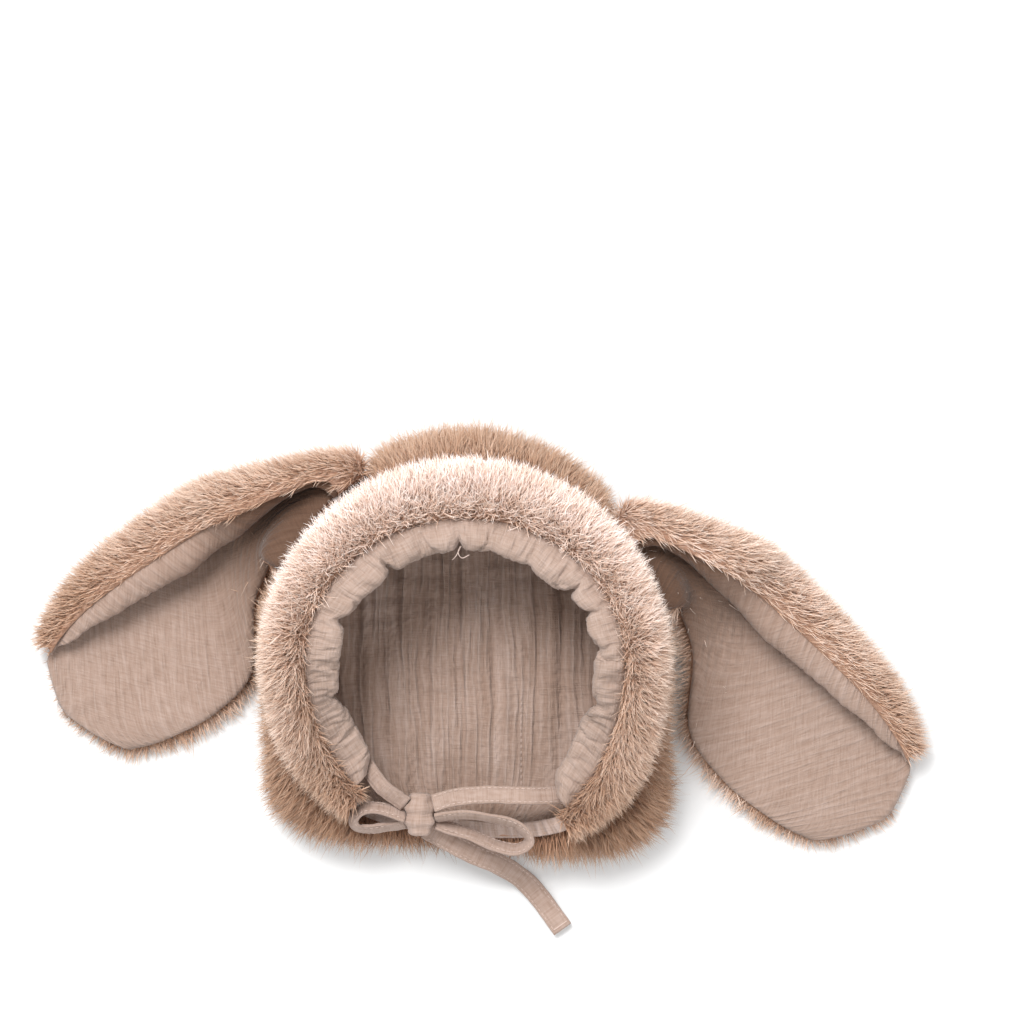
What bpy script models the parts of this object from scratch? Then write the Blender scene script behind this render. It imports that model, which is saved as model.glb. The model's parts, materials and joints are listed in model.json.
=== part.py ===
"""Baby bonnet with lop rabbit ears, lying on the back of its head with the face opening up.

Metres, +Z up. The origin is the middle of the fur that is pressed flat under the head, +Y points
to the forehead and +X to the ear that is on the right from above.
"""

import bpy
import bmesh
import random
from collections import namedtuple
from math import atan2, copysign, cos, hypot, pi, radians, sin, sqrt
from mathutils import Vector

# Head, measured from the middle of the resting patch
SEAM_HALF_WIDTH = 0.0900     # seam between crown and front band, at the sides
SEAM_TOP = 0.0895            # the same seam over the forehead
HEM_NECK = 0.0860            # hem at the nape
SEAM_HEIGHT = 0.0640         # seam above the surface, at the sides and forehead
CORNER_SEAM_HEIGHT = 0.0270  # seam where it ends at the tie corners
HEM_HEIGHT = 0.0130          # hem in the middle of the nape
NAPE_SKEW = 0.075            # how much deeper the nape is on the right than in the middle
SEAM_SQUARENESS = 2.5        # outline exponent towards the neck

# Face opening, along the middle of its binding
FACE_HALF_WIDTH = 0.0660
FACE_TOP = 0.0590
FACE_CHIN = 0.0820
FACE_HEIGHT = 0.0810
CORNER_FACE_HEIGHT = 0.0430
TIE_CORNER = radians(142.5)  # where the opening ends at the ties, from the forehead
CORNER_SKEW = radians(3.5)   # the right corner lies this much lower, the left this much higher
DROP_START = radians(78)     # where the face edge starts to fall towards the ties
BINDING_WIDTH = 0.0145
BINDING_THICKNESS = 0.0100

# Cloth
FUR_BACKING = 0.0020
PILE = 0.0085                # height of the fur locks above their backing
LOCK_SIZE = 0.0118           # spacing of the fur locks
MUSLIN = 0.0012
CLEARANCE = 0.0004           # between pieces that are sewn together
LINING_FLOOR = 0.0090        # lining above the surface, at the back of the head
GATHER_DEPTH = 0.0016
GATHER_SPACING = 0.0240
BAND_PUFF = 0.0080           # how far the front band rounds up over its two edges

# Ears
LEFT_EAR_LENGTH = 0.1550
RIGHT_EAR_LENGTH = 0.1775
EAR_HALF_WIDTH = 0.0485
EAR_ROLL_RADIUS = 0.0140     # long edge that is rolled over, across the ear
EAR_ROLL_HEIGHT = 0.0145     # half the height of that roll
EAR_REST = 0.0046            # fur fabric above the surface, over its pressed pile
EAR_NECK_LIFT = 0.0510       # height that the lifts of the ear sections are shares of
EAR_TIP_ROUND = 0.060        # how far the corners of an ear's tip are cut back, as a share of its length
EAR_FLAT_SHARE = 0.52        # share of an ear's section that lies flat before the roll
EAR_ROLL_TURN = radians(216)
EAR_SEAT_STEP = 0.80         # step of the crown wall that the root is sewn to
EAR_SEAT_GAP = 0.0014        # between the root and the crown's backing
BAND_OVERLAP = radians(3)    # front band beyond the ends of the binding
BAND_MARGIN = 0.0060         # crown without locks below the front band's edge
LAYER_GAP = 0.0010           # between the fur and the muslin of an ear
EAR_LIP = 0.07               # muslin beyond the fur on the rolled edge, as a share of the section
EAR_SETBACK = 0.016          # muslin short of the fur on the lower edge, as a share of the section

# Ties
TIE_WIDTH = 0.0098
TIE_THICKNESS = 0.0016
BOW_HEIGHT = 0.0360
TAIL_REST = 0.0005
NECK_BAND_WIDTH = 0.0078
NECK_BAND_THICKNESS = 0.0024

# Fur locks
LOCK_LEAN = 0.45             # how far a lock's tip moves along its nap, as a share of its height
LOCK_HEIGHTS = (0.78, 1.08)  # range of lock heights, as shares of the pile
LEAST_LOCK = 0.10            # share of the pile below which no lock is drawn out
LOCK_SEED = 11

# Faces along and across each grid
CROWN_ROW_COUNT = 8
BAND_ROW_COUNT = 5
LINING_GRID = (30, 15)
BINDING_GRID = (56, 8)
NECK_BAND_GRID = (14, 2)
EAR_GRID = (15, 13)
KNOT_GRID = (8, 10)
MERGE = 0.000001

# Crown wall from the pressed patch to the seam. Shares of the head's sizes at the seam.
HeadRow = namedtuple("HeadRow", "step height side top neck squareness")
CROWN_ROWS = [HeadRow(*row) for row in [
    (0.00, 0.00, 0.690, 0.760, 0.720, 3.0),
    (0.20, 0.04, 0.880, 0.960, 0.880, 3.6),
    (0.40, 0.20, 0.985, 1.100, 0.965, 5.4),
    (0.62, 0.48, 1.010, 1.160, 0.985, 7.0),
    (0.84, 0.80, 1.005, 1.110, 0.990, 4.6),
    (1.00, 1.00, 1.000, 1.000, 1.000, 2.5),
]]

# Lining from the middle of its floor to its top edge. Heights are shares of the way from the floor to
# the edge, and the last row is taken from the edge itself.
LINING_ROWS = [HeadRow(*row) for row in [
    (0.00, 0.00, 0.000, 0.000, 0.000, 2.0),
    (0.50, 0.00, 0.560, 0.540, 0.560, 2.2),
    (0.68, 0.09, 0.790, 0.790, 0.760, 2.6),
    (0.80, 0.38, 0.865, 0.900, 0.850, 3.0),
    (0.91, 0.74, 0.850, 0.880, 0.915, 2.6),
    (1.00, 1.00, 1.000, 1.000, 1.000, 2.0),
]]

# Puckers of the face binding: degrees from the forehead, share that it narrows, half length in degrees
Pucker = namedtuple("Pucker", "angle pinch spread")
PUCKERS = [Pucker(*row) for row in [
    (-104, 0.20, 5), (-72, 0.16, 7), (-38, 0.30, 4), (-3, 0.34, 4), (24, 0.14, 6),
    (52, 0.30, 4), (78, 0.26, 5), (110, 0.24, 6),
]]

# Ear root and neck, wrapped round the crown: how far out and how far down they lie, as shares of the
# ear's half width, and the roll
RootRow = namedtuple("RootRow", "along out drop roll roll_height")
EAR_ROOT = [RootRow(*row) for row in [
    (0.00, 0.000, 0.041, 0.72, 0.44),
    (0.07, 0.227, 0.165, 0.88, 0.62),
]]

# Ear sections from neck to tip: place along the ear, widths either side of its axis, roll and height
EarRow = namedtuple("EarRow", "along upper lower roll lift")
EAR_SECTIONS = [EarRow(*row) for row in [
    (0.20, 0.90, 0.02, 1.00, 0.42),
    (0.31, 0.97, 0.25, 1.00, 0.10),
    (0.44, 0.97, 0.81, 0.96, 0.00),
    (0.60, 0.93, 0.96, 0.88, 0.00),
    (0.74, 0.85, 0.94, 0.74, 0.00),
    (0.86, 0.70, 0.85, 0.54, 0.00),
    (0.95, 0.50, 0.68, 0.34, 0.00),
    (1.00, 0.24, 0.44, 0.22, 0.00),
]]

# Each ear: ends of its root in degrees from the forehead, start of its axis as shares of the seam's
# half width, and heading of its axis
EARS = {
    "left": {"side": -1, "length": LEFT_EAR_LENGTH, "root": (-29, -64),
             "axis_start": (-0.750, 0.694), "axis_angle": 212.3},
    "right": {"side": 1, "length": RIGHT_EAR_LENGTH, "root": (47, 76),
              "axis_start": (0.844, 0.522), "axis_angle": -42.2},
}

# Centre lines of the straps: x and y as shares of the seam's half width, height as one of the bow's
TIE_LEFT_LINE = [(-0.4889, -0.5978, 1.00), (-0.4278, -0.6800, 1.10), (-0.3200, -0.7600, 1.04)]
TIE_RIGHT_LINE = [(0.4478, -0.7222, 1.04), (0.3111, -0.7133, 1.10), (0.1333, -0.7089, 1.08),
                  (-0.0444, -0.7200, 1.08), (-0.1744, -0.7578, 1.03)]
LOOP_LEFT_LINE = [(-0.3233, -0.8267, 1.00), (-0.4444, -0.7833, 1.04), (-0.5333, -0.7833, 1.04),
                  (-0.5889, -0.8278, 1.00), (-0.5778, -0.8833, 0.94), (-0.5000, -0.9000, 0.88),
                  (-0.4222, -0.8889, 0.86), (-0.3233, -0.8722, 0.88)]
LOOP_RIGHT_LINE = [(-0.1622, -0.8333, 0.99), (0.0000, -0.8167, 1.02), (0.1556, -0.8389, 1.02),
                   (0.2778, -0.8778, 1.02), (0.3333, -0.9556, 0.96), (0.2667, -1.0056, 0.88),
                   (0.1444, -0.9833, 0.84), (0.0111, -0.9278, 0.83), (-0.1633, -0.8722, 0.86)]
TAIL_LINE = [(-0.2111, -0.9022, 0.76), (-0.0778, -0.9833, 0.62), (0.0556, -1.0556, 0.50),
             (0.1722, -1.1111, 0.36), (0.3056, -1.2111, 0.08), (0.4167, -1.3389, 0.05),
             (0.5167, -1.4778, 0.05)]
# Each strap: its line, its tilt in degrees, its width as a share of the tie's and its faces along
Strap = namedtuple("Strap", "line tilt width columns")
STRAPS = {
    "tie_left": Strap(TIE_LEFT_LINE, 25, 0.85, 4),
    "tie_right": Strap(TIE_RIGHT_LINE, 20, 0.85, 10),
    "bow_loop_left": Strap(LOOP_LEFT_LINE, 62, 0.90, 14),
    "bow_loop_right": Strap(LOOP_RIGHT_LINE, 62, 0.90, 18),
    "tie_tail": Strap(TAIL_LINE, 0, 1.00, 16),
}
# Bow knot: its middle as shares of the seam's half width, its half sizes and its form
KNOT_CENTRE = (-0.2444, -0.8167)
KNOT_HALF = (0.0067, 0.0100, 0.0062)
KNOT_END = 0.72              # how far its ends draw in, of its section's area
KNOT_FOLD = 0.10             # depth of the fold across it

# Colours, linear, with their roughness
FUR_LOOK = ((0.50, 0.33, 0.24, 1.0), 0.95)
MUSLIN_LOOK = ((0.52, 0.41, 0.35, 1.0), 0.90)
TIE_LOOK = ((0.55, 0.44, 0.39, 1.0), 0.88)


def clear_scene():
    for old in list(bpy.data.objects):
        bpy.data.objects.remove(old, do_unlink=True)


def make_material(name, look):
    colour, roughness = look
    material = bpy.data.materials.new(name)
    material.use_nodes = True
    shader = material.node_tree.nodes["Principled BSDF"]
    shader.inputs["Base Color"].default_value = colour
    shader.inputs["Roughness"].default_value = roughness
    shader.inputs["Metallic"].default_value = 0.0
    return material


def ease(share):
    """Smooth step from 0 to 1."""
    share = min(max(share, 0.0), 1.0)
    return share * share * (3.0 - 2.0 * share)


def mix(first, second, share):
    return first + (second - first) * share


def smooth_between(knots, value_at, position):
    """Value on a smooth curve that passes through value_at(index) at each knot."""
    last = len(knots) - 1
    index = 0
    while index < last - 1 and position > knots[index + 1]:
        index += 1
    span = knots[index + 1] - knots[index]
    share = min(max((position - knots[index]) / span, 0.0), 1.0)
    before, after = max(index - 1, 0), min(index + 2, last)
    low, high = value_at(index), value_at(index + 1)
    slope_low = (high - value_at(before)) * (span / (knots[index + 1] - knots[before]))
    slope_high = (value_at(after) - low) * (span / (knots[after] - knots[index]))
    square, cube = share * share, share ** 3
    return (low * (2 * cube - 3 * square + 1) + slope_low * (cube - 2 * square + share)
            + high * (3 * square - 2 * cube) + slope_high * (cube - square))


def read_rows(rows, step):
    """Every column of a head table but the step, at a step between its rows."""
    steps = [row.step for row in rows]
    return [smooth_between(steps, lambda index: rows[index][column], step)
            for column in range(1, len(rows[0]))]


def outline(angle, half_width, top, neck, squareness):
    """Radius of a head section: an ellipse towards the forehead, squarer towards the neck."""
    side, along = abs(sin(angle)), cos(angle)
    depth = top if along >= 0 else neck * (1.0 + NAPE_SKEW * sin(angle))
    power = 2.0 if along >= 0 else mix(2.0, squareness, ease(-2.0 * along))
    return ((side / half_width) ** power + (abs(along) / depth) ** power) ** (-1.0 / power)


def seam_radius(angle):
    return outline(angle, SEAM_HALF_WIDTH, SEAM_TOP, HEM_NECK, SEAM_SQUARENESS)


def face_radius(angle):
    return outline(angle, FACE_HALF_WIDTH, FACE_TOP, FACE_CHIN, 2.0)


def corner(angle):
    """Tie corner on the side of an angle, as a size."""
    return TIE_CORNER + copysign(CORNER_SKEW, angle)


def corner_share(angle):
    """0 over the forehead and the sides, 1 at the tie corners."""
    return ease((abs(angle) - DROP_START) / (corner(angle) - DROP_START))


def nape_share(angle):
    """0 at the tie corners, 1 towards the middle of the nape."""
    return ease((abs(angle) - corner(angle)) / (pi - corner(angle)) * 1.4)


def along_face(share, extra=0.0):
    """Angle from the left tie corner (0) over the forehead to the right one (1)."""
    return mix(-corner(-1.0) - extra, corner(1.0) + extra, share)


def seam_height(angle):
    falling = mix(SEAM_HEIGHT, CORNER_SEAM_HEIGHT, corner_share(angle))
    return mix(falling, HEM_HEIGHT, nape_share(angle))


def face_height(angle):
    return mix(FACE_HEIGHT, CORNER_FACE_HEIGHT, corner_share(angle))


def polar(angle, radius, height):
    return Vector((radius * sin(angle), radius * cos(angle), height))


def crown_point(angle, step):
    """Outer face of the crown's backing, at an angle and a step up its wall."""
    height, side, top, neck, squareness = read_rows(CROWN_ROWS, step)
    radius = outline(angle, side * SEAM_HALF_WIDTH, top * SEAM_TOP, neck * HEM_NECK, squareness)
    return polar(angle, radius, height * seam_height(angle))


def band_point(angle, across):
    """Outer face of the front band's backing, from the binding (0) to the seam (1)."""
    inner_radius = face_radius(angle) + BINDING_WIDTH / 2 + CLEARANCE
    sewn_height = face_height(angle) - BINDING_THICKNESS * 0.5
    inner_height = face_height(angle) - BINDING_THICKNESS * 0.25
    outer_radius = seam_radius(angle) + FUR_BACKING
    outer_height = seam_height(angle) + FUR_BACKING + 3 * CLEARANCE
    width = outer_radius - inner_radius
    controls = [(inner_radius, sewn_height),
                (inner_radius + 0.12 * width, inner_height + BAND_PUFF),
                (inner_radius + 0.95 * width, inner_height + 0.9 * BAND_PUFF),
                (outer_radius + 0.12 * width, mix(inner_height, outer_height, 0.55)),
                (outer_radius, outer_height)]
    weights = [(1 - across) ** 4, 4 * across * (1 - across) ** 3, 6 * (across * (1 - across)) ** 2,
               4 * across ** 3 * (1 - across), across ** 4]
    radius = sum(w * c[0] for w, c in zip(weights, controls))
    height = sum(w * c[1] for w, c in zip(weights, controls))
    return polar(angle, radius, height)


def lining_edge(angle):
    """Top edge of the lining: under the binding, then along the hem of the nape."""
    share = ease((abs(angle) - corner(angle) + radians(2)) / radians(7))
    radius = mix(face_radius(angle), seam_radius(angle) - FUR_BACKING - 4 * CLEARANCE, share)
    under_binding = face_height(angle) - BINDING_THICKNESS - MUSLIN - 2 * CLEARANCE
    return radius, mix(under_binding, seam_height(angle), share)


def lining_point(angle, step):
    edge_radius, edge_height = lining_edge(angle)
    height, side, top, neck, squareness = read_rows(LINING_ROWS, step)
    wall = 0.0
    if step > 0.0:
        wall = outline(angle, max(side * SEAM_HALF_WIDTH, MERGE), max(top * SEAM_TOP, MERGE),
                       max(neck * HEM_NECK, MERGE), squareness)
    last_wall = LINING_ROWS[-2].step
    radius = mix(wall, edge_radius, ease((step - last_wall) / (1.0 - last_wall)))
    return polar(angle, radius, mix(LINING_FLOOR, edge_height, height))


def build_grid(surface, columns, rows):
    """Map a unit grid through surface(u, v) and merge the edges that meet."""
    bm = bmesh.new()
    bmesh.ops.create_grid(bm, x_segments=columns, y_segments=rows, size=0.5)
    for vert in bm.verts:
        vert.co = surface(vert.co.x + 0.5, vert.co.y + 0.5)
    bmesh.ops.remove_doubles(bm, verts=bm.verts[:], dist=MERGE)
    bm.normal_update()
    return bm


def add_object(name, bm, material, smooth=True):
    mesh = bpy.data.meshes.new(name)
    bm.to_mesh(mesh)
    bm.free()
    mesh.materials.append(material)
    for polygon in mesh.polygons:
        polygon.use_smooth = smooth
    obj = bpy.data.objects.new(name, mesh)
    collection.objects.link(obj)
    return obj


def add_wall(obj, thickness, offset=-1.0):
    solidify = obj.modifiers.new("Wall", "SOLIDIFY")
    solidify.thickness = thickness
    solidify.offset = offset
    solidify.use_even_offset = False


def raise_locks(bm, faces, nap, cover, seed):
    """Draw each face out into a lock of fur that leans along its nap."""
    chance = random.Random(seed)
    for face in faces:
        centre, normal = face.calc_center_median(), face.normal.copy()
        size = sqrt(face.calc_area())
        height = PILE * cover(centre, normal) * chance.uniform(*LOCK_HEIGHTS)
        if height < LEAST_LOCK * PILE:
            continue
        tip = centre + normal * height + nap(centre) * LOCK_LEAN * min(size, height)
        tip.z = max(tip.z, 0.0)
        result = bmesh.ops.poke(bm, faces=[face])
        result["verts"][0].co = tip


def outward(point):
    """Nap of the head's fur: away from the face and a little towards the back of the head."""
    return Vector((point.x, point.y, -0.02)).normalized()


def fur_solid(name, bm, nap, cover, seed, material):
    """Give a fur sheet its backing and its locks."""
    outer = list(bm.faces)
    bmesh.ops.solidify(bm, geom=bm.faces[:], thickness=FUR_BACKING)
    bm.normal_update()
    raise_locks(bm, outer, nap, cover, seed)
    return add_object(name, bm, material, smooth=False)


def ear_cover(point, normal):
    """How much of its pile the crown keeps: none where an ear lies over it or it bears the hat."""
    if point.z < 0.02 * SEAM_HEIGHT:
        return 0.0
    angle = atan2(point.x, point.y)
    if abs(angle) < corner(angle) + BAND_OVERLAP and point.z > seam_height(angle) - BAND_MARGIN:
        return 0.0
    under_ear = 0.0
    for ear in EARS.values():
        near, far = sorted(radians(a) for a in ear["root"])
        inside = min(angle - near, far - angle) / radians(7) + 1.0
        under_ear = max(under_ear, ease(inside))
    high = ease((point.z / SEAM_HEIGHT - 0.05) / 0.15)
    return 1.0 - under_ear * high


def make_crown(material):
    columns = round(2 * pi * SEAM_HALF_WIDTH / LOCK_SIZE)
    bm = build_grid(lambda u, v: crown_point(pi - 2 * pi * u, v), columns, CROWN_ROW_COUNT)
    rim = [edge for edge in bm.edges if edge.is_boundary
           and max(vert.co.z for vert in edge.verts) < MERGE]
    patch = bmesh.ops.edgenet_fill(bm, edges=rim)["faces"][0]
    bmesh.ops.recalc_face_normals(bm, faces=bm.faces[:])
    if patch.normal.z > 0:
        bmesh.ops.reverse_faces(bm, faces=bm.faces[:])
    bm.normal_update()
    return fur_solid("crown_fur", bm, outward, ear_cover, LOCK_SEED, material)


def make_front_band(material):
    columns = round(2 * TIE_CORNER * SEAM_HALF_WIDTH / LOCK_SIZE)
    bm = build_grid(lambda u, v: band_point(along_face(u, BAND_OVERLAP), v), columns,
                    BAND_ROW_COUNT)
    return fur_solid("front_band_fur", bm, outward, lambda point, normal: 1.0, LOCK_SEED + 1,
                     material)


def make_crown_lining(material):
    def gathered(u, v):
        across, along = 2 * u - 1, 2 * v - 1
        x = across * sqrt(1 - along * along / 2)
        y = along * sqrt(1 - across * across / 2)
        step = min(hypot(x, y), 1.0)
        point = lining_point(atan2(x, y), step)
        wave = sin(2 * pi * point.x / GATHER_SPACING + 0.9 * sin(point.y / GATHER_SPACING))
        fade = ease((0.94 - step) / 0.3)
        return point + Vector((0.0, 0.0, GATHER_DEPTH * (1 + wave) * 0.5 * fade))

    lining = add_object("crown_lining", build_grid(gathered, *LINING_GRID), material)
    add_wall(lining, MUSLIN)


def closed_roll(name, section, grid, material):
    """A padded roll: a closed section carried along a line, with closed ends."""
    bm = build_grid(lambda u, v: section(u, 2 * pi * v), *grid)
    bmesh.ops.holes_fill(bm, edges=[e for e in bm.edges if e.is_boundary], sides=0)
    bmesh.ops.recalc_face_normals(bm, faces=bm.faces[:])
    return add_object(name, bm, material)


def make_face_binding(material):
    def section(u, turn):
        angle = along_face(u)
        pinch = 1.0
        for pucker in PUCKERS:
            offset = (angle - radians(pucker.angle)) / radians(pucker.spread)
            pinch -= pucker.pinch / (1.0 + offset * offset) ** 2
        radius = face_radius(angle) + BINDING_WIDTH / 2 * pinch * cos(turn)
        middle = face_height(angle) - BINDING_THICKNESS / 2
        return polar(angle, radius, middle + BINDING_THICKNESS / 2 * pinch * sin(turn))

    return closed_roll("face_binding", section, BINDING_GRID, material)


def make_neck_band(material):
    start, end = corner(1.0) + radians(5), 2 * pi - corner(-1.0) - radians(5)

    def strip(u, v):
        angle = mix(start, end, u)
        wrapped = angle if angle <= pi else angle - 2 * pi
        radius = seam_radius(wrapped) - 0.45 * NECK_BAND_WIDTH + (v - 0.5) * NECK_BAND_WIDTH
        rise = NECK_BAND_THICKNESS + 3 * CLEARANCE + 0.25 * NECK_BAND_THICKNESS * sin(pi * v)
        return polar(angle, radius, seam_height(wrapped) + rise)

    band = add_object("neck_band", build_grid(strip, *NECK_BAND_GRID), material)
    add_wall(band, NECK_BAND_THICKNESS)


def curl(across, upper, lower, roll, height, lift):
    """Section of an ear: flat from its lower edge, then rolled up and over at its upper edge."""
    if across <= EAR_FLAT_SHARE:
        share = across / EAR_FLAT_SHARE
        rise = 0.25 * height * (1 - share) ** 2
        return mix(-lower, upper - roll, share), lift + rise
    turn = -pi / 2 + EAR_ROLL_TURN * (across - EAR_FLAT_SHARE) / (1 - EAR_FLAT_SHARE)
    return upper - roll + roll * cos(turn), lift + height * (1 + sin(turn))


def ear_point(ear, along, across):
    """Outer face of an ear's fur backing, from its root on the seam to its tip."""
    knots = [row.along for row in EAR_ROOT + EAR_SECTIONS]
    near, far = (radians(a) for a in ear["root"])
    start = Vector(ear["axis_start"]) * SEAM_HALF_WIDTH
    heading = radians(ear["axis_angle"])
    forward = Vector((cos(heading), sin(heading)))
    upward = Vector((-forward.y, forward.x)) * ear["side"]

    def knot_point(index):
        if index < len(EAR_ROOT):
            row = EAR_ROOT[index]
            span = abs(near - far) * SEAM_HALF_WIDTH
            width, height = curl(across, span, 0.0, row.roll * EAR_ROLL_RADIUS,
                                 row.roll_height * EAR_ROLL_HEIGHT, 0.0)
            angle = mix(far, near, width / span)
            seat = crown_point(angle, EAR_SEAT_STEP)
            radius = hypot(seat.x, seat.y) + EAR_SEAT_GAP + row.out * EAR_HALF_WIDTH
            return polar(angle, radius, seat.z - row.drop * EAR_HALF_WIDTH + height)
        row = EAR_SECTIONS[index - len(EAR_ROOT)]
        width, height = curl(across, row.upper * EAR_HALF_WIDTH, row.lower * EAR_HALF_WIDTH,
                             row.roll * EAR_ROLL_RADIUS, row.roll * EAR_ROLL_HEIGHT,
                             EAR_REST + row.lift * EAR_NECK_LIFT)
        flat = start + forward * row.along * ear["length"] + upward * width
        return Vector((flat.x, flat.y, height))

    return smooth_between(knots, knot_point, along)


def sunk_copy(bm, depth):
    """A copy of a cloth surface that lies a depth behind it."""
    copy = bm.copy()
    copy.normal_update()
    for vert, place in [(v, v.co - v.normal * depth * v.calc_shell_factor()) for v in copy.verts]:
        vert.co = place
    copy.normal_update()
    return copy


def make_ear(side, fur, muslin):
    ear = EARS[side]
    flip = ear["side"]

    def layer(lip, setback):
        """Ear surface whose rolled edge is longer and whose lower edge is shorter by these shares."""
        def surface(u, v):
            across = 1 - v if flip > 0 else v
            longer = lip * ease((across - 0.88) / 0.12) * ease(u / 0.3)
            longer += setback * (1 - ease(across / 0.35))
            cut = EAR_TIP_ROUND * u ** 6 * ((across - 0.42) / 0.42) ** 2
            return ear_point(ear, 1 - (1 - u) ** 1.12 - cut, across + longer)

        return build_grid(surface, *EAR_GRID)

    def pressed(point, normal):
        out = hypot(point.x, point.y) - seam_radius(atan2(point.x, point.y))
        free = ease((out - PILE) / (3 * PILE))
        return free * ease((normal.z + 0.75) / 0.7) if point.z > EAR_REST * 2 else 0.5

    def nap(point):
        heading = radians(ear["axis_angle"])
        tip = Vector(ear["axis_start"]) * SEAM_HALF_WIDTH
        tip += Vector((cos(heading), sin(heading))) * ear["length"] * 1.4
        return (Vector((tip.x, tip.y, 0.0)) - point).normalized()

    front = sunk_copy(layer(EAR_LIP, EAR_SETBACK), FUR_BACKING + LAYER_GAP)
    fur_solid("ear_%s_fur" % side, layer(0.0, 0.0), nap, pressed, LOCK_SEED + 2 + flip, fur)
    add_wall(add_object("ear_%s_lining" % side, front, muslin), MUSLIN)


def make_strap(name, strap, material):
    """A flat tape along a line, tilted about it, from flat (0) to on edge (90 degrees)."""
    points = [Vector((x * SEAM_HALF_WIDTH, y * SEAM_HALF_WIDTH, height * BOW_HEIGHT + TAIL_REST))
              for x, y, height in strap.line]
    places = [index / (len(points) - 1) for index in range(len(points))]
    step = 0.02

    def tape(u, v):
        centre = smooth_between(places, points.__getitem__, u)
        ahead = (smooth_between(places, points.__getitem__, min(u + step, 1.0))
                 - smooth_between(places, points.__getitem__, max(u - step, 0.0)))
        flat_side = Vector((0, 0, 1)).cross(ahead).normalized()
        edge_side = ahead.cross(flat_side).normalized()
        across = flat_side * cos(radians(strap.tilt)) + edge_side * sin(radians(strap.tilt))
        return centre + across * TIE_WIDTH * strap.width * (v - 0.5)

    cloth = add_object(name, build_grid(tape, strap.columns, 2), material)
    add_wall(cloth, TIE_THICKNESS, offset=0.0)


def make_knot(material):
    def section(u, turn):
        along = mix(-1.0, 1.0, u)
        swell = sqrt(1.0 - KNOT_END * along ** 4) * (1.0 - KNOT_FOLD * cos(3 * pi * along))
        return Vector((KNOT_CENTRE[0] * SEAM_HALF_WIDTH + KNOT_HALF[0] * swell * cos(turn),
                       KNOT_CENTRE[1] * SEAM_HALF_WIDTH + KNOT_HALF[1] * along,
                       BOW_HEIGHT + KNOT_HALF[2] * swell * sin(turn)))

    return closed_roll("bow_knot", section, KNOT_GRID, material)


clear_scene()
collection = bpy.data.collections.new("baby_bonnet_with_rabbit_ears")
bpy.context.scene.collection.children.link(collection)
fur_material = make_material("fur", FUR_LOOK)
muslin_material = make_material("muslin", MUSLIN_LOOK)
tie_material = make_material("tie", TIE_LOOK)

make_crown(fur_material)
make_front_band(fur_material)
make_crown_lining(muslin_material)
make_face_binding(muslin_material)
make_neck_band(muslin_material)
make_ear("left", fur_material, muslin_material)
make_ear("right", fur_material, muslin_material)
for strap_name, strap_shape in STRAPS.items():
    make_strap(strap_name, strap_shape, tie_material)
make_knot(tie_material)
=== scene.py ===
import json
import bmesh
import bpy
from math import atan2, copysign, cos, hypot, pi, radians, sin, sqrt
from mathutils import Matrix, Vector, noise

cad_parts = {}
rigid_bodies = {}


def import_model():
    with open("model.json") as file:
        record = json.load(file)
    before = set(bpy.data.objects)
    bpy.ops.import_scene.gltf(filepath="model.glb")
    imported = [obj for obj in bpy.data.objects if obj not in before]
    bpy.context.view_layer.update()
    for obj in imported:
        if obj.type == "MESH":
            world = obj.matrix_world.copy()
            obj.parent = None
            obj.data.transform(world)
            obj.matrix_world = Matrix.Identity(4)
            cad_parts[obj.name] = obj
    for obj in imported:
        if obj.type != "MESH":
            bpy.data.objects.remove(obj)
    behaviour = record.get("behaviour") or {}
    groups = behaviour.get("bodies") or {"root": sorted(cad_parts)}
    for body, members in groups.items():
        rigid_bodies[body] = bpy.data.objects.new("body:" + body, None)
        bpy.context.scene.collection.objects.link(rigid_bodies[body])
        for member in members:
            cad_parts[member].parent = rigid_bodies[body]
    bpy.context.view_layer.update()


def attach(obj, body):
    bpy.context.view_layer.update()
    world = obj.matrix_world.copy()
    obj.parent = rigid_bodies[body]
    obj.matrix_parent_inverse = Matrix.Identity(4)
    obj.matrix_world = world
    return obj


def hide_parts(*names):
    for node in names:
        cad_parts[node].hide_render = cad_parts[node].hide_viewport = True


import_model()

# Baby bonnet with lop rabbit ears, on the back of its head with the face opening up.
# Metres, +Z up, +Y to the forehead. Angles go from the forehead towards +X.

print("stage: frame loaded")


# Sockets and node trees
class Signal:  # an output socket that + - * and ** work on
    def __init__(self, maker, socket):
        self.maker, self.socket = maker, socket


def joiner(operation, swapped):
    return lambda self, other: self.maker.calc(operation, *((other, self) if swapped else (self, other)))


for sign, operation in (("add", "ADD"), ("sub", "SUBTRACT"), ("mul", "MULTIPLY"), ("pow", "POWER")):
    setattr(Signal, "__%s__" % sign, joiner(operation, False))
    setattr(Signal, "__r%s__" % sign, joiner(operation, True))


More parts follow.
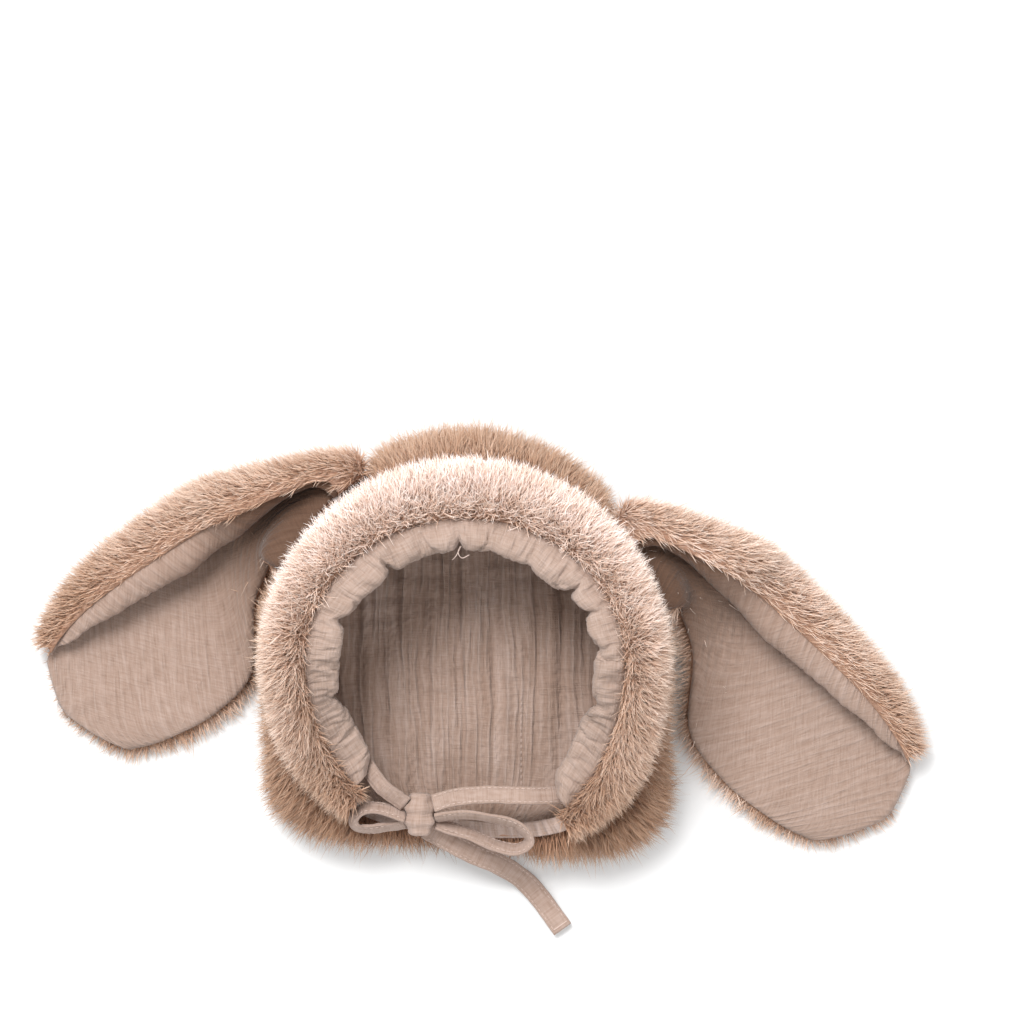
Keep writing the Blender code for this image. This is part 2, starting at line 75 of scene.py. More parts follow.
class NodeMaker:  # adds nodes to one tree
    def __init__(self, tree):
        self.tree = tree

    def feed(self, socket, value):
        if isinstance(value, Signal):
            self.tree.links.new(value.socket, socket)
        else:
            socket.default_value = value

    def node(self, kind, settings=None, sockets=None, output=0):
        made = self.tree.nodes.new(kind)
        for name, value in (settings or {}).items():
            setattr(made, name, value)
        for key, value in (sockets or {}).items():
            self.feed(made.inputs[key], value)
        return Signal(self, made.outputs[output])

    def calc(self, operation, first, second=0.0):
        vectors = [v for v in (first, second) if isinstance(v, Signal) and v.socket.type == "VECTOR"]
        if not vectors:
            return self.node("ShaderNodeMath", {"operation": operation}, {0: first, 1: second})
        if operation == "MULTIPLY" and len(vectors) == 1 and not isinstance(second, (tuple, Vector)):
            scale = second if vectors[0] is first else first
            return self.node("ShaderNodeVectorMath", {"operation": "SCALE"},
                             {0: vectors[0], "Scale": scale})
        return self.node("ShaderNodeVectorMath", {"operation": operation}, {0: first, 1: second})

    def attribute(self, name):  # a number on the mesh, for a material
        return self.node("ShaderNodeAttribute", {"attribute_name": name}, output=2)

    def split(self, vector):  # its X, Y and Z
        outputs = self.node("ShaderNodeSeparateXYZ", {}, {"Vector": vector}).socket.node.outputs
        return [Signal(self, output) for output in outputs]

    def join(self, x, y, z):
        return self.node("ShaderNodeCombineXYZ", {}, {"X": x, "Y": y, "Z": z})

    def place(self, points, piece, rotation, size):  # copies of a piece on points, as real geometry
        copies = self.node("GeometryNodeInstanceOnPoints", {},
                           {"Points": points, "Instance": piece, "Rotation": rotation, "Scale": size})
        return self.node("GeometryNodeRealizeInstances", {}, {"Geometry": copies})

    def step(self, value, low, high):  # smooth step from 0 at low to 1 at high
        return self.node("ShaderNodeMapRange", {"interpolation_type": "SMOOTHSTEP"},
                         {"Value": value, "From Min": low, "From Max": high})


scene, pieces = bpy.context.scene, bpy.data.objects


def addObject(name, data):
    made = pieces.new(name, data)
    scene.collection.objects.link(made)
    return made


def newTree(name, inputs):  # a node group, its maker, and a function that gives its inputs by name
    tree = bpy.data.node_groups.new(name, "GeometryNodeTree")
    tree.interface.new_socket("Geometry", in_out="INPUT", socket_type="NodeSocketGeometry")
    for label, (kind, value) in inputs.items():
        socket = tree.interface.new_socket(label, in_out="INPUT", socket_type="NodeSocket" + kind)
        if value is not None:
            socket.default_value = value
    tree.interface.new_socket("Geometry", in_out="OUTPUT", socket_type="NodeSocketGeometry")
    maker, entry = NodeMaker(tree), tree.nodes.new("NodeGroupInput")
    return tree, maker, lambda label: Signal(maker, entry.outputs[label])


def endTree(tree, maker, geometry, material):
    done = maker.node("GeometryNodeSetMaterial", {}, {"Geometry": geometry, "Material": material})
    maker.feed(tree.nodes.new("NodeGroupOutput").inputs["Geometry"], done)
    return tree


def runTree(source, tree, values, name):  # the tree's result on source, as a plain mesh object
    modifier = source.modifiers.new("Nodes", "NODES")
    modifier.node_group = tree
    for item in tree.interface.items_tree:
        if item.in_out == "INPUT" and item.name in values:
            modifier[item.identifier] = values[item.name]
    depsgraph = bpy.context.evaluated_depsgraph_get()
    depsgraph.update()
    mesh = bpy.data.meshes.new_from_object(source.evaluated_get(depsgraph), depsgraph=depsgraph)
    source.modifiers.remove(modifier)
    mesh.name = name
    return addObject(name, mesh)


# The hat's own forms
head = {
    "seamHalfWidth": 0.0900, "seamTop": 0.0895, "hemNeck": 0.0860,
    "seamHeight": 0.0640, "cornerSeamHeight": 0.0270, "hemHeight": 0.0130,
    "napeSkew": 0.075, "seamSquareness": 2.5,
    "faceHalfWidth": 0.0660, "faceTop": 0.0590, "faceChin": 0.0820,
    "faceHeight": 0.0810, "cornerFaceHeight": 0.0430,
    "tieCorner": radians(142.5), "cornerSkew": radians(3.5), "dropStart": radians(78),
    "bindingWidth": 0.0145, "bindingThickness": 0.0100,
    "furBacking": 0.0020, "muslin": 0.0012, "clearance": 0.0004,
    "liningFloor": 0.0090, "bandPuff": 0.0080, "bandOverlap": radians(3),
}

# step, height, side, top, neck, squareness
crownRows = [
    (0.00, 0.00, 0.690, 0.760, 0.720, 3.0),
    (0.20, 0.04, 0.880, 0.960, 0.880, 3.6),
    (0.40, 0.20, 0.985, 1.100, 0.965, 5.4),
    (0.62, 0.48, 1.010, 1.160, 0.985, 7.0),
    (0.84, 0.80, 1.005, 1.110, 0.990, 4.6),
    (1.00, 1.00, 1.000, 1.000, 1.000, 2.5),
]
liningRows = [
    (0.00, 0.00, 0.000, 0.000, 0.000, 2.0),
    (0.50, 0.00, 0.560, 0.540, 0.560, 2.2),
    (0.68, 0.09, 0.790, 0.790, 0.760, 2.6),
    (0.80, 0.38, 0.865, 0.900, 0.850, 3.0),
    (0.91, 0.74, 0.850, 0.880, 0.915, 2.6),
    (1.00, 1.00, 1.000, 1.000, 1.000, 2.0),
]
tiny = 0.000001


def ease(share):
    share = min(max(share, 0.0), 1.0)
    return share * share * (3.0 - 2.0 * share)


def mix(first, second, share):
    return first + (second - first) * share


def smoothBetween(knots, valueAt, position):
    last = len(knots) - 1
    index = 0
    while index < last - 1 and position > knots[index + 1]:
        index += 1
    span = knots[index + 1] - knots[index]
    share = min(max((position - knots[index]) / span, 0.0), 1.0)
    before, after = max(index - 1, 0), min(index + 2, last)
    low, high = valueAt(index), valueAt(index + 1)
    slopeLow = (high - valueAt(before)) * (span / (knots[index + 1] - knots[before]))
    slopeHigh = (valueAt(after) - low) * (span / (knots[after] - knots[index]))
    square, cube = share * share, share ** 3
    return (low * (2 * cube - 3 * square + 1) + slopeLow * (cube - 2 * square + share)
            + high * (3 * square - 2 * cube) + slopeHigh * (cube - square))


def readRows(rows, step):
    steps = [row[0] for row in rows]
    return [smoothBetween(steps, lambda index: rows[index][column], step)
            for column in range(1, len(rows[0]))]


def outline(angle, halfWidth, top, neck, squareness):
    side, along = abs(sin(angle)), cos(angle)
    depth = top if along >= 0 else neck * (1.0 + head["napeSkew"] * sin(angle))
    power = 2.0 if along >= 0 else mix(2.0, squareness, ease(-2.0 * along))
    return ((side / halfWidth) ** power + (abs(along) / depth) ** power) ** (-1.0 / power)


def seamRadius(angle):
    return outline(angle, head["seamHalfWidth"], head["seamTop"], head["hemNeck"], head["seamSquareness"])


def faceRadius(angle):
    return outline(angle, head["faceHalfWidth"], head["faceTop"], head["faceChin"], 2.0)


def corner(angle):
    return head["tieCorner"] + copysign(head["cornerSkew"], angle)


def cornerShare(angle):
    return ease((abs(angle) - head["dropStart"]) / (corner(angle) - head["dropStart"]))


def napeShare(angle):
    return ease((abs(angle) - corner(angle)) / (pi - corner(angle)) * 1.4)


def alongFace(share, extra=0.0):
    return mix(-corner(-1.0) - extra, corner(1.0) + extra, share)


def seamHeight(angle):
    falling = mix(head["seamHeight"], head["cornerSeamHeight"], cornerShare(angle))
    return mix(falling, head["hemHeight"], napeShare(angle))


def faceHeight(angle):
    return mix(head["faceHeight"], head["cornerFaceHeight"], cornerShare(angle))


def polar(angle, radius, height):
    return Vector((radius * sin(angle), radius * cos(angle), height))


def wrapped(angle):
    return (angle + pi) % (2 * pi) - pi


def crownPoint(angle, step):
    height, side, top, neck, squareness = readRows(crownRows, step)
    radius = outline(angle, side * head["seamHalfWidth"], top * head["seamTop"],
                     neck * head["hemNeck"], squareness)
    return polar(angle, radius, height * seamHeight(angle))


def bandPoint(angle, across):  # front band from the binding (0) to the seam (1)
    innerRadius = faceRadius(angle) + head["bindingWidth"] / 2 + head["clearance"]
    sewnHeight = faceHeight(angle) - head["bindingThickness"] * 0.5
    innerHeight = faceHeight(angle) - head["bindingThickness"] * 0.25
    outerRadius = seamRadius(angle) + head["furBacking"]
    outerHeight = seamHeight(angle) + head["furBacking"] + 3 * head["clearance"]
    width = outerRadius - innerRadius
    puff = head["bandPuff"]
    controls = [(innerRadius, sewnHeight),
                (innerRadius + 0.12 * width, innerHeight + puff),
                (innerRadius + 0.95 * width, innerHeight + 0.9 * puff),
                (outerRadius + 0.12 * width, mix(innerHeight, outerHeight, 0.55)),
                (outerRadius, outerHeight)]
    weights = [(1 - across) ** 4, 4 * across * (1 - across) ** 3, 6 * (across * (1 - across)) ** 2,
               4 * across ** 3 * (1 - across), across ** 4]
    return polar(angle, sum(w * c[0] for w, c in zip(weights, controls)),
                 sum(w * c[1] for w, c in zip(weights, controls)))


def liningEdge(angle):
    share = ease((abs(angle) - corner(angle) + radians(2)) / radians(7))
    radius = mix(faceRadius(angle), seamRadius(angle) - head["furBacking"] - 4 * head["clearance"], share)
    under = faceHeight(angle) - head["bindingThickness"] - head["muslin"] - 2 * head["clearance"]
    return radius, mix(under, seamHeight(angle), share)


def liningPoint(angle, step):
    edgeRadius, edgeHeight = liningEdge(angle)
    height, side, top, neck, squareness = readRows(liningRows, step)
    wall = 0.0
    if step > 0.0:
        wall = outline(angle, max(side * head["seamHalfWidth"], tiny), max(top * head["seamTop"], tiny),
                       max(neck * head["hemNeck"], tiny), squareness)
    lastWall = liningRows[-2][0]
    radius = mix(wall, edgeRadius, ease((step - lastWall) / (1.0 - lastWall)))
    return polar(angle, radius, mix(head["liningFloor"], edgeHeight, height))


# Meshes
def gridObject(name, surface, columns, rows, size):  # a unit grid through surface(u, v), UVs in metres
    points = [surface(i / columns, j / rows) for j in range(rows + 1) for i in range(columns + 1)]
    faces, shares = [], []
    for j in range(rows):
        for i in range(columns):
            corners = [(i, j), (i + 1, j), (i + 1, j + 1), (i, j + 1)]
            faces.append([b * (columns + 1) + a for a, b in corners])
            shares.extend((a / columns * size[0], b / rows * size[1]) for a, b in corners)
    mesh = bpy.data.meshes.new(name)
    mesh.from_pydata(points, [], faces)
    layer = mesh.uv_layers.new(name="cloth")
    for item, place in zip(layer.data, shares):
        item.uv = place
    bm = bmesh.new()
    bm.from_mesh(mesh)
    bmesh.ops.remove_doubles(bm, verts=bm.verts[:], dist=tiny)
    bm.to_mesh(mesh)
    bm.free()
    mesh.shade_smooth()
    return addObject(name, mesh)


def closeEnds(made):  # caps a tube's two ends
    bm = bmesh.new()
    bm.from_mesh(made.data)
    bmesh.ops.holes_fill(bm, edges=[e for e in bm.edges if e.is_boundary], sides=0)
    bmesh.ops.recalc_face_normals(bm, faces=bm.faces[:])
    bm.to_mesh(made.data)
    bm.free()
    made.data.shade_smooth()
    return made


def faceUp(made, wanted):  # turns every face over if most of them don't point as wanted(centre) says
    mesh = made.data
    if sum(p.normal.dot(wanted(p.center)) * p.area for p in mesh.polygons) < 0:
        mesh.flip_normals()


def moveTo(mesh, places):
    for vert, place in zip(mesh.vertices, places):
        vert.co = place


def writeNumbers(mesh, name, values):
    mesh.attributes.new(name, "FLOAT", "POINT").data.foreach_set("value", list(values))


def thicken(made, thickness, offset=-1.0):  # bakes a wall into the mesh
    wall = made.modifiers.new("Wall", "SOLIDIFY")
    wall.thickness, wall.offset, wall.use_even_offset = thickness, offset, False
    depsgraph = bpy.context.evaluated_depsgraph_get()
    old = made.data
    made.data = bpy.data.meshes.new_from_object(made.evaluated_get(depsgraph), depsgraph=depsgraph)
    made.modifiers.clear()
    bpy.data.meshes.remove(old)


def dress(made, material, slot, *nodes):  # material, body and the nodes that it stands for; slot is not used
    if not made.data.materials:
        made.data.materials.append(material)
    # pieces with no painted shade get 1.0, which leaves their colour as it is
    if "painted_shade" not in made.data.attributes:
        writeNumbers(made.data, "painted_shade", [1.0] * len(made.data.vertices))
    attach(made, "root")
    if nodes:
        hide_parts(*nodes)
    return made


# Finishes
def colour(red, green, blue):  # screen colour to the linear one that a shader takes
    linear = []
    for part in (red, green, blue):
        part /= 255
        linear.append(part / 12.92 if part <= 0.04045 else ((part + 0.055) / 1.055) ** 2.4)
    return (*linear, 1.0)


def newMaterial(name):
    material = bpy.data.materials.new(name)
    material.use_nodes = True
    return material, NodeMaker(material.node_tree), material.node_tree.nodes["Principled BSDF"].inputs


def mixColours(maker, share, first, second, blend="MIX"):
    node = maker.node("ShaderNodeMix", {"data_type": "RGBA", "blend_type": blend}).socket.node
    for key, value in (("Factor", share), (6, first), (7, second)):
        maker.feed(node.inputs[key], value)
    return Signal(maker, node.outputs[2])


def darken(maker, tint, share, warmth=0.0):  # tint times a number that varies over the surface: its own mottle, and painted shade where a piece carries it; with warmth, darker parts turn browner
    parts = {i: share ** (1.0 + i * warmth) if warmth and i else share for i in range(3)}
    return mixColours(maker, 1.0, tint, maker.node("ShaderNodeCombineColor", {}, parts), "MULTIPLY")


# Strands run from a dark root to a pale tip. This is the fur's own tipped colour, and partly painted shade
# deep in the pile. Warmth turns the darker parts browner.
furFinish = {
    "root": colour(182, 145, 120), "middle": colour(229, 200, 181), "tip": colour(250, 237, 228),
    "patchScale": 52.0, "roughness": 0.62, "sheen": 0.25,
    "darkest": 0.70, "toneShare": 0.34, "patchShare": 0.26, "warmth": 0.45,
}


def makeFurMaterial():
    material, maker, surface = newMaterial("faux_fur_strands")
    along, tone, painted_shade = (maker.attribute(name) for name in ("along", "tone", "painted_shade"))
    place = maker.node("ShaderNodeTexCoord", output=3)
    patches = maker.node("ShaderNodeTexNoise", {}, {"Vector": place, "Scale": furFinish["patchScale"]})
    lower = mixColours(maker, maker.step(along, 0.0, 0.55), furFinish["root"], furFinish["middle"])
    whole = mixColours(maker, maker.step(along, 0.45, 1.0), lower, furFinish["tip"])
    # tone and patches are the fur's own random tone; the number read from the skin is painted shade
    light = furFinish["darkest"] + tone * furFinish["toneShare"] + patches * furFinish["patchShare"]
    maker.feed(surface["Base Color"], darken(maker, whole, light * painted_shade, furFinish["warmth"]))
    surface["Roughness"].default_value = furFinish["roughness"]
    surface["Sheen Weight"].default_value = furFinish["sheen"]
    surface["Sheen Roughness"].default_value = 0.4
    return material


plainFinishes = {  # tint, lightness where darkest, its spread, scale and detail of the mottle, roughness
    # the backing's darker brown is its own colour and partly painted shade, as it shows deep between the
    # strands
    "faux_fur_backing": (colour(172, 134, 112), 0.55, 0.6, 900.0, 3.0, 0.95),
    "sewing_thread": (colour(206, 185, 174), 0.75, 0.4, 2500.0, 2.0, 0.7),
}


def makePlainMaterial(name):  # one tint with a fine mottle
    tint, darkest, spread, scale, detail, roughness = plainFinishes[name]
    material, maker, surface = newMaterial(name)
    place = maker.node("ShaderNodeTexCoord", output=3)
    fine = maker.node("ShaderNodeTexNoise", {}, {"Vector": place, "Scale": scale, "Detail": detail})
    maker.feed(surface["Base Color"], darken(maker, tint, darkest + fine * spread))
    surface["Roughness"].default_value = roughness
    return material


muslinFinish = {
    "tint": colour(177, 156, 146), "threads": 1250.0, "slub": 110.0, "ribs": 215.0,
    "crinkleAcross": 230.0, "crinkleAlong": 22.0, "crossRibs": 150.0, "wander": 2.3, "crossWander": 4.0,
    "roughness": 0.88, "sheen": 0.15, "warmth": 0.29, "bumpStrength": 0.75, "bumpDepth": 0.0009,
}


def makeMuslinMaterial(name, tint, crinkle, turn=0.0):  # turn is the way of the gauze's ribs on the cloth
    material, maker, surface = newMaterial(name)
    finish = muslinFinish
    cloth = maker.node("ShaderNodeUVMap", {"uv_map": "cloth"})

    def mapped(angle, scale):
        return maker.node("ShaderNodeMapping", {"vector_type": "TEXTURE"},
                          {"Vector": cloth, "Rotation": (0.0, 0.0, angle), "Scale": scale})

    def stretched(across, along, detail, angle=turn):
        return maker.node("ShaderNodeTexNoise", {"noise_dimensions": "2D"},
                          {"Vector": mapped(angle, (1 / across, 1 / along, 1.0)),
                           "Scale": 1.0, "Detail": detail, "Roughness": 0.55})

    warp = stretched(finish["threads"], finish["slub"], 2.0)
    weft = stretched(finish["slub"], finish["threads"], 2.0)
    folds = stretched(finish["crinkleAcross"], finish["crinkleAlong"], 3.0)
    broadMottle = stretched(28.0, 22.0, 3.0, 0.0)
    drift = stretched(60.0, 14.0, 2.0)
    sideways, down = maker.split(mapped(turn, (1.0, 1.0, 1.0)))[:2]
    wave = maker.calc("SINE", (sideways * finish["ribs"] + drift * finish["wander"]) * (2 * pi))
    cross = maker.calc("SINE", (down * finish["crossRibs"] + drift * finish["crossWander"]) * (2 * pi))
    ribs = (wave * 0.5 + 0.5) ** 1.6 * (0.4 + folds)
    # warp and weft are the threads' own tone, and the broad mottle lightens and darkens patches a few
    # centimetres across; the folds and ribs terms paint the crinkles' shade and bright highlight lines along
    # the ribs into the colour
    light = (0.42 + warp * 0.30 + weft * 0.30 + folds * 0.16 * crinkle + ribs * (0.15 * crinkle)
             + broadMottle * 0.14)
    # the number on the piece is painted shade
    maker.feed(surface["Base Color"],
               darken(maker, tint, light * maker.attribute("painted_shade"), finish["warmth"]))
    relief = (folds * (1.5 * crinkle) + ribs * (0.85 * crinkle) + cross * (0.16 * crinkle)
              + warp * 0.55 + weft * 0.55)
    bump = maker.node("ShaderNodeBump", {}, {
        "Strength": finish["bumpStrength"], "Distance": finish["bumpDepth"], "Height": relief})
    maker.feed(surface["Normal"], bump)
    surface["Roughness"].default_value = finish["roughness"]
    surface["Sheen Weight"].default_value = finish["sheen"]
    return material


furMaterial = makeFurMaterial()
backingMaterial = makePlainMaterial("faux_fur_backing")
muslinMaterial = makeMuslinMaterial("crinkled_muslin", muslinFinish["tint"], 1.0)
earMuslinMaterial = makeMuslinMaterial("crinkled_muslin_ears", muslinFinish["tint"], 0.55, radians(38))
bindingMaterial = makeMuslinMaterial("muslin_binding", colour(180, 160, 150), 0.08)
tapeMaterial = makeMuslinMaterial("muslin_tape", colour(181, 160, 150), 0.10)
threadMaterial = makePlainMaterial("sewing_thread")
print("stage: finishes")


# Fur that grows on a skin
furCoat = {
    "Density": 3200000.0, "Tufts": 150000.0, "Length": 0.0100, "Length Spread": 0.50, "Width": 0.00048,
    "Lift": 0.90, "Mess": 0.62, "Bend": 0.25, "Curl": 0.30, "Gather": 0.85, "Steps": 4,
}


def makeFurTree():
    inputs = {label: ("Int" if label == "Steps" else "Float", value) for label, value in furCoat.items()}
    tree, maker, given = newTree("furCoat", {**inputs, "Seed": ("Int", 1), "Material": ("Material", None)})

    def attribute(name, kind):
        return maker.node("GeometryNodeInputNamedAttribute", {"data_type": kind}, {"Name": name})

    def chance(seedShift, low=0.0, high=1.0):
        return maker.node("FunctionNodeRandomValue", {"data_type": "FLOAT"},
                          {2: low, 3: high, "Seed": given("Seed") + seedShift}, output=1)

    def store(geometry, name, kind, value):
        return maker.node("GeometryNodeStoreNamedAttribute", {"data_type": kind, "domain": "POINT"},
                          {"Geometry": geometry, "Name": name, "Value": value})

    cover, nap = attribute("cover", "FLOAT"), attribute("nap", "FLOAT_VECTOR")
    position = maker.node("GeometryNodeInputPosition")

    def scatter(density, seed):
        return maker.node("GeometryNodeDistributePointsOnFaces", {"distribute_method": "RANDOM"},
                          {"Mesh": given("Geometry"), "Density": density, "Seed": seed})

    roots = scatter(given("Density") * cover, given("Seed"))
    normal = Signal(maker, roots.socket.node.outputs["Normal"])
    tufts = scatter(given("Tufts"), given("Seed") + 31)
    nearest = maker.node("GeometryNodeSampleNearest", {"domain": "POINT"}, {"Geometry": tufts})

    def fromTuft(kind, value):
        return maker.node("GeometryNodeSampleIndex", {"data_type": kind, "domain": "POINT"},
                          {"Geometry": tufts, "Value": value, "Index": nearest})

    centre, tuftTone = fromTuft("FLOAT_VECTOR", position), fromTuft("FLOAT", chance(5))
    stray = maker.calc("GREATER_THAN", chance(12), 0.92)
    stored = store(roots, "pull", "FLOAT_VECTOR", centre - position)
    stored = store(stored, "tone", "FLOAT", tuftTone * 0.6 + chance(6) * 0.4)
    # carries the skin's painted shade over to the strands
    stored = store(stored, "painted_shade", "FLOAT", attribute("painted_shade", "FLOAT"))
    shorter = 1.0 - given("Length Spread") * chance(7)
    reach = given("Length") * cover ** 0.5 * shorter * (1.0 + stray * 0.3)
    stored = store(stored, "reach", "FLOAT", reach)

    wander = maker.node("FunctionNodeRandomValue", {"data_type": "FLOAT_VECTOR"},
                        {0: (-1.0, -1.0, -1.0), 1: (1.0, 1.0, 1.0), "Seed": given("Seed") + 8})
    rise = normal * (given("Lift") * (0.15 + cover * 0.85))
    heading = rise + nap + wander * (given("Mess") * (1.0 + stray * 0.9))
    leaning = maker.node("FunctionNodeAlignRotationToVector", {"axis": "Z"}, {"Vector": heading})
    spin = maker.node("FunctionNodeAxisAngleToRotation", {},
                      {"Axis": (0.0, 0.0, 1.0), "Angle": chance(9, 0.0, 2 * pi)})
    turned = maker.node("FunctionNodeRotateRotation", {"rotation_space": "LOCAL"},
                        {"Rotation": leaning, "Rotate By": spin})

    blade = maker.node("GeometryNodeMeshGrid", {},
                       {"Size X": 1.0, "Size Y": 1.0, "Vertices X": 2, "Vertices Y": given("Steps")})
    x, y, z = maker.split(position)
    blade = store(blade, "along", "FLOAT", y + 0.5)
    along = attribute("along", "FLOAT")
    tapered = maker.join(x * (1.0 - along ** 1.8), given("Curl") * along * along, along)
    blade = maker.node("GeometryNodeSetPosition", {}, {"Geometry": blade, "Position": tapered})
    blade = maker.node("GeometryNodeMergeByDistance", {}, {"Geometry": blade, "Distance": 0.001})

    reach = attribute("reach", "FLOAT")
    real = maker.place(stored, blade, turned, maker.join(given("Width"), reach, reach))
    drawn = along * along
    offset = (attribute("pull", "FLOAT_VECTOR") * (given("Gather") * drawn)
              + nap * (given("Bend") * reach * drawn))
    real = maker.node("GeometryNodeSetPosition", {}, {"Geometry": real, "Offset": offset})
    clear = maker.join(x, y, maker.calc("MAXIMUM", z, 0.0002))  # no strand goes through the floor
    real = maker.node("GeometryNodeSetPosition", {}, {"Geometry": real, "Position": clear})
    return endTree(tree, maker, real, given("Material"))


furTree = makeFurTree()


def growFur(skin, name, seed, keep=None, **changes):  # strands on the faces whose centre keep() takes
    source = addObject("source", skin.data.copy())
    if keep:
        bm = bmesh.new()
        bm.from_mesh(source.data)
        away = [face for face in bm.faces if not keep(face.calc_center_median())]
        bmesh.ops.delete(bm, geom=away, context="FACES")
        bm.to_mesh(source.data)
        bm.free()
    values = dict(furCoat, Seed=seed, Material=furMaterial, **changes)
    pile = runTree(source, furTree, values, name)
    pieces.remove(source)
    for spare in ("nap", "cover", "pull", "reach", "cloth"):
        found = pile.data.attributes.get(spare)
        if found:
            pile.data.attributes.remove(found)
    print(name, len(pile.data.polygons), "faces", sum(len(p.vertices) - 2 for p in pile.data.polygons))
    return dress(pile, furMaterial, "fur")


def combed(made, napAt, coverAt, shadeAt):  # writes the fur's direction, depth and painted shade on a skin
    mesh = made.data
    mesh.update()
    normals = [v.normal.copy() for v in mesh.vertices]
    places = [v.co.copy() for v in mesh.vertices]
    naps = []
    for place, normal in zip(places, normals):
        nap = napAt(place, normal)
        naps.extend(nap - normal * nap.dot(normal) * 0.7)
    mesh.attributes.new("nap", "FLOAT_VECTOR", "POINT").data.foreach_set("vector", naps)
    writeNumbers(mesh, "cover", [coverAt(p, n) for p, n in zip(places, normals)])
    writeNumbers(mesh, "painted_shade", [shadeAt(p) for p in places])


# Crown and front band in fur
def outward(place):
    return Vector((place.x, place.y, -0.02)).normalized()


def swept(place, normal):  # along the surface, away from the face and down to the surface below
    angle = atan2(place.x, place.y)
    around = Vector((cos(angle), -sin(angle), 0.0))
    along = normal.cross(around)
    if along.dot(outward(place) - Vector((0, 0, 0.7))) < 0:
        along = -along
    around = around * (noise.noise(place * 42.0) * 0.6)
    return (along * 0.8 + 0.3 * outward(place) + around).normalized()


def lowCorner(place):  # 0 over most of the head, 1 at the two corners where the ties are sewn on
    return ease((-place.y - 0.030) / 0.045)


def bandShare(place):  # 0 at the binding, 1 at the seam with the crown
    angle = atan2(place.x, place.y)
    inner = faceRadius(angle) + head["bindingWidth"] / 2
    return (hypot(place.x, place.y) - inner) / (seamRadius(angle) - inner)


def bandShade(place):  # painted shade: browner and darker next to the binding and at the low corners, lighter towards the forehead where the light falls, palest along the outer fringe
    high = 0.83 + 0.28 * ease((place.y + 0.020) / 0.080)
    return (0.88 + 0.12 * ease(bandShare(place) * 1.3)) * high * (1.0 - 0.26 * lowCorner(place))


def bandCover(place, normal):
    share = bandShare(place)
    return mix(0.30, 1.0, ease(share / 0.22)) - 0.55 * ease((share - 0.80) / 0.25)


def bandNap(place, normal):
    angle = atan2(place.x, place.y)
    around = Vector((cos(angle), -sin(angle), 0.0))
    edge = ease((bandShare(place) - 0.75) / 0.25)
    flow = around * (noise.noise(place * 42.0) * 0.7) + Vector((0.0, 0.0, -0.7 * edge))
    return (outward(place) + flow).normalized() * mix(1.7, 0.8, ease(bandShare(place) / 0.25))


def crownSurface(u, v):  # the last row is the seam allowance, turned up inside the front band
    angle = wrapped(pi - 2 * pi * u)
    cap, seam = 0.16, 33 / 34
    if v < cap:
        pressed = crownPoint(angle, 0.0) * (v / cap)
        return Vector((pressed.x, pressed.y, 0.0010))
    point = crownPoint(angle, min((v - cap) / (seam - cap), 1.0))
    point.z = max(point.z, 0.0010)
    turnedUp = max(0.0, (v - seam) / (1 - seam))
    return point - outward(point) * 0.0007 * turnedUp + Vector((0, 0, 0.0036 * turnedUp))


def crownCover(place, normal):
    if normal.z < -0.9 and place.z < 0.004:
        return 0.10
    angle = atan2(place.x, place.y)
    pressed = ease((place.z - 0.001) / 0.006)
    inSeam = ease((place.z - seamHeight(angle)) / 0.0015)
    under = 0.0
    for ear in ears.values():
        near, far = sorted(radians(a) for a in ear["root"])
        inside = min(angle - near, far - angle) / radians(8) + 1.0
        under = max(under, ease(inside) * ease((place.z - 0.016) / 0.012))
    return mix(0.25, 1.0, pressed) * (1.0 - 0.9 * max(under, inSeam)) * (1.0 + 0.5 * lowCorner(place))


# each ear's fur gets its own amount of painted shade, the left ear's darker than the right's
ears = {
    "left": {"side": -1, "length": 0.1550, "root": (-29, -64),
             "start": (-0.0675, 0.0625), "heading": 212.3, "painted_shade": 0.79},
    "right": {"side": 1, "length": 0.1775, "root": (47, 76),
              "start": (0.0760, 0.0470), "heading": -42.2, "painted_shade": 0.90},
}

crownSkin = gridObject("crown_pelt", crownSurface, 150, 34, (0.56, 0.16))
faceUp(crownSkin, outward)
# painted shade on the crown's fur: darker overall than the band's, and darker still at the low corners
combed(crownSkin, swept, crownCover, lambda place: 0.60 - 0.09 * lowCorner(place))
bandSkin = gridObject("front_band_pelt", lambda u, v: bandPoint(alongFace(u, head["bandOverlap"]), v),
                      150, 18, (0.40, 0.06))
faceUp(bandSkin, lambda place: Vector((place.x, place.y, 0.3)))
combed(bandSkin, bandNap, bandCover, bandShade)

crownCoat = {"Density": 1500000.0, "Length": 0.0125}
bandCoat = {"Lift": 0.95, "Bend": 0.20}
for skin, node, seed, coat in ((crownSkin, "crown", 21, crownCoat),
                               (bandSkin, "front_band", 23, bandCoat)):
    growFur(skin, node + "_pile_left", seed, lambda c: c.x < 0, **coat)
    growFur(skin, node + "_pile_right", seed + 1, lambda c: c.x >= 0, **coat)
    thicken(skin, head["furBacking"])
    dress(skin, backingMaterial, "fur", node + "_fur")
print("stage: head fur")


# Muslin lining of the crown
lining = {
    "gathers": ((0.0170, 0.50), (0.0098, 0.44), (0.0052, 0.22)), "depth": 0.0062,
    "seamX": 0.0262, "columns": 120, "rows": 120,
}


def soft(x, y, scale):
    return noise.noise(Vector((x * scale, y * scale, 3.7)))


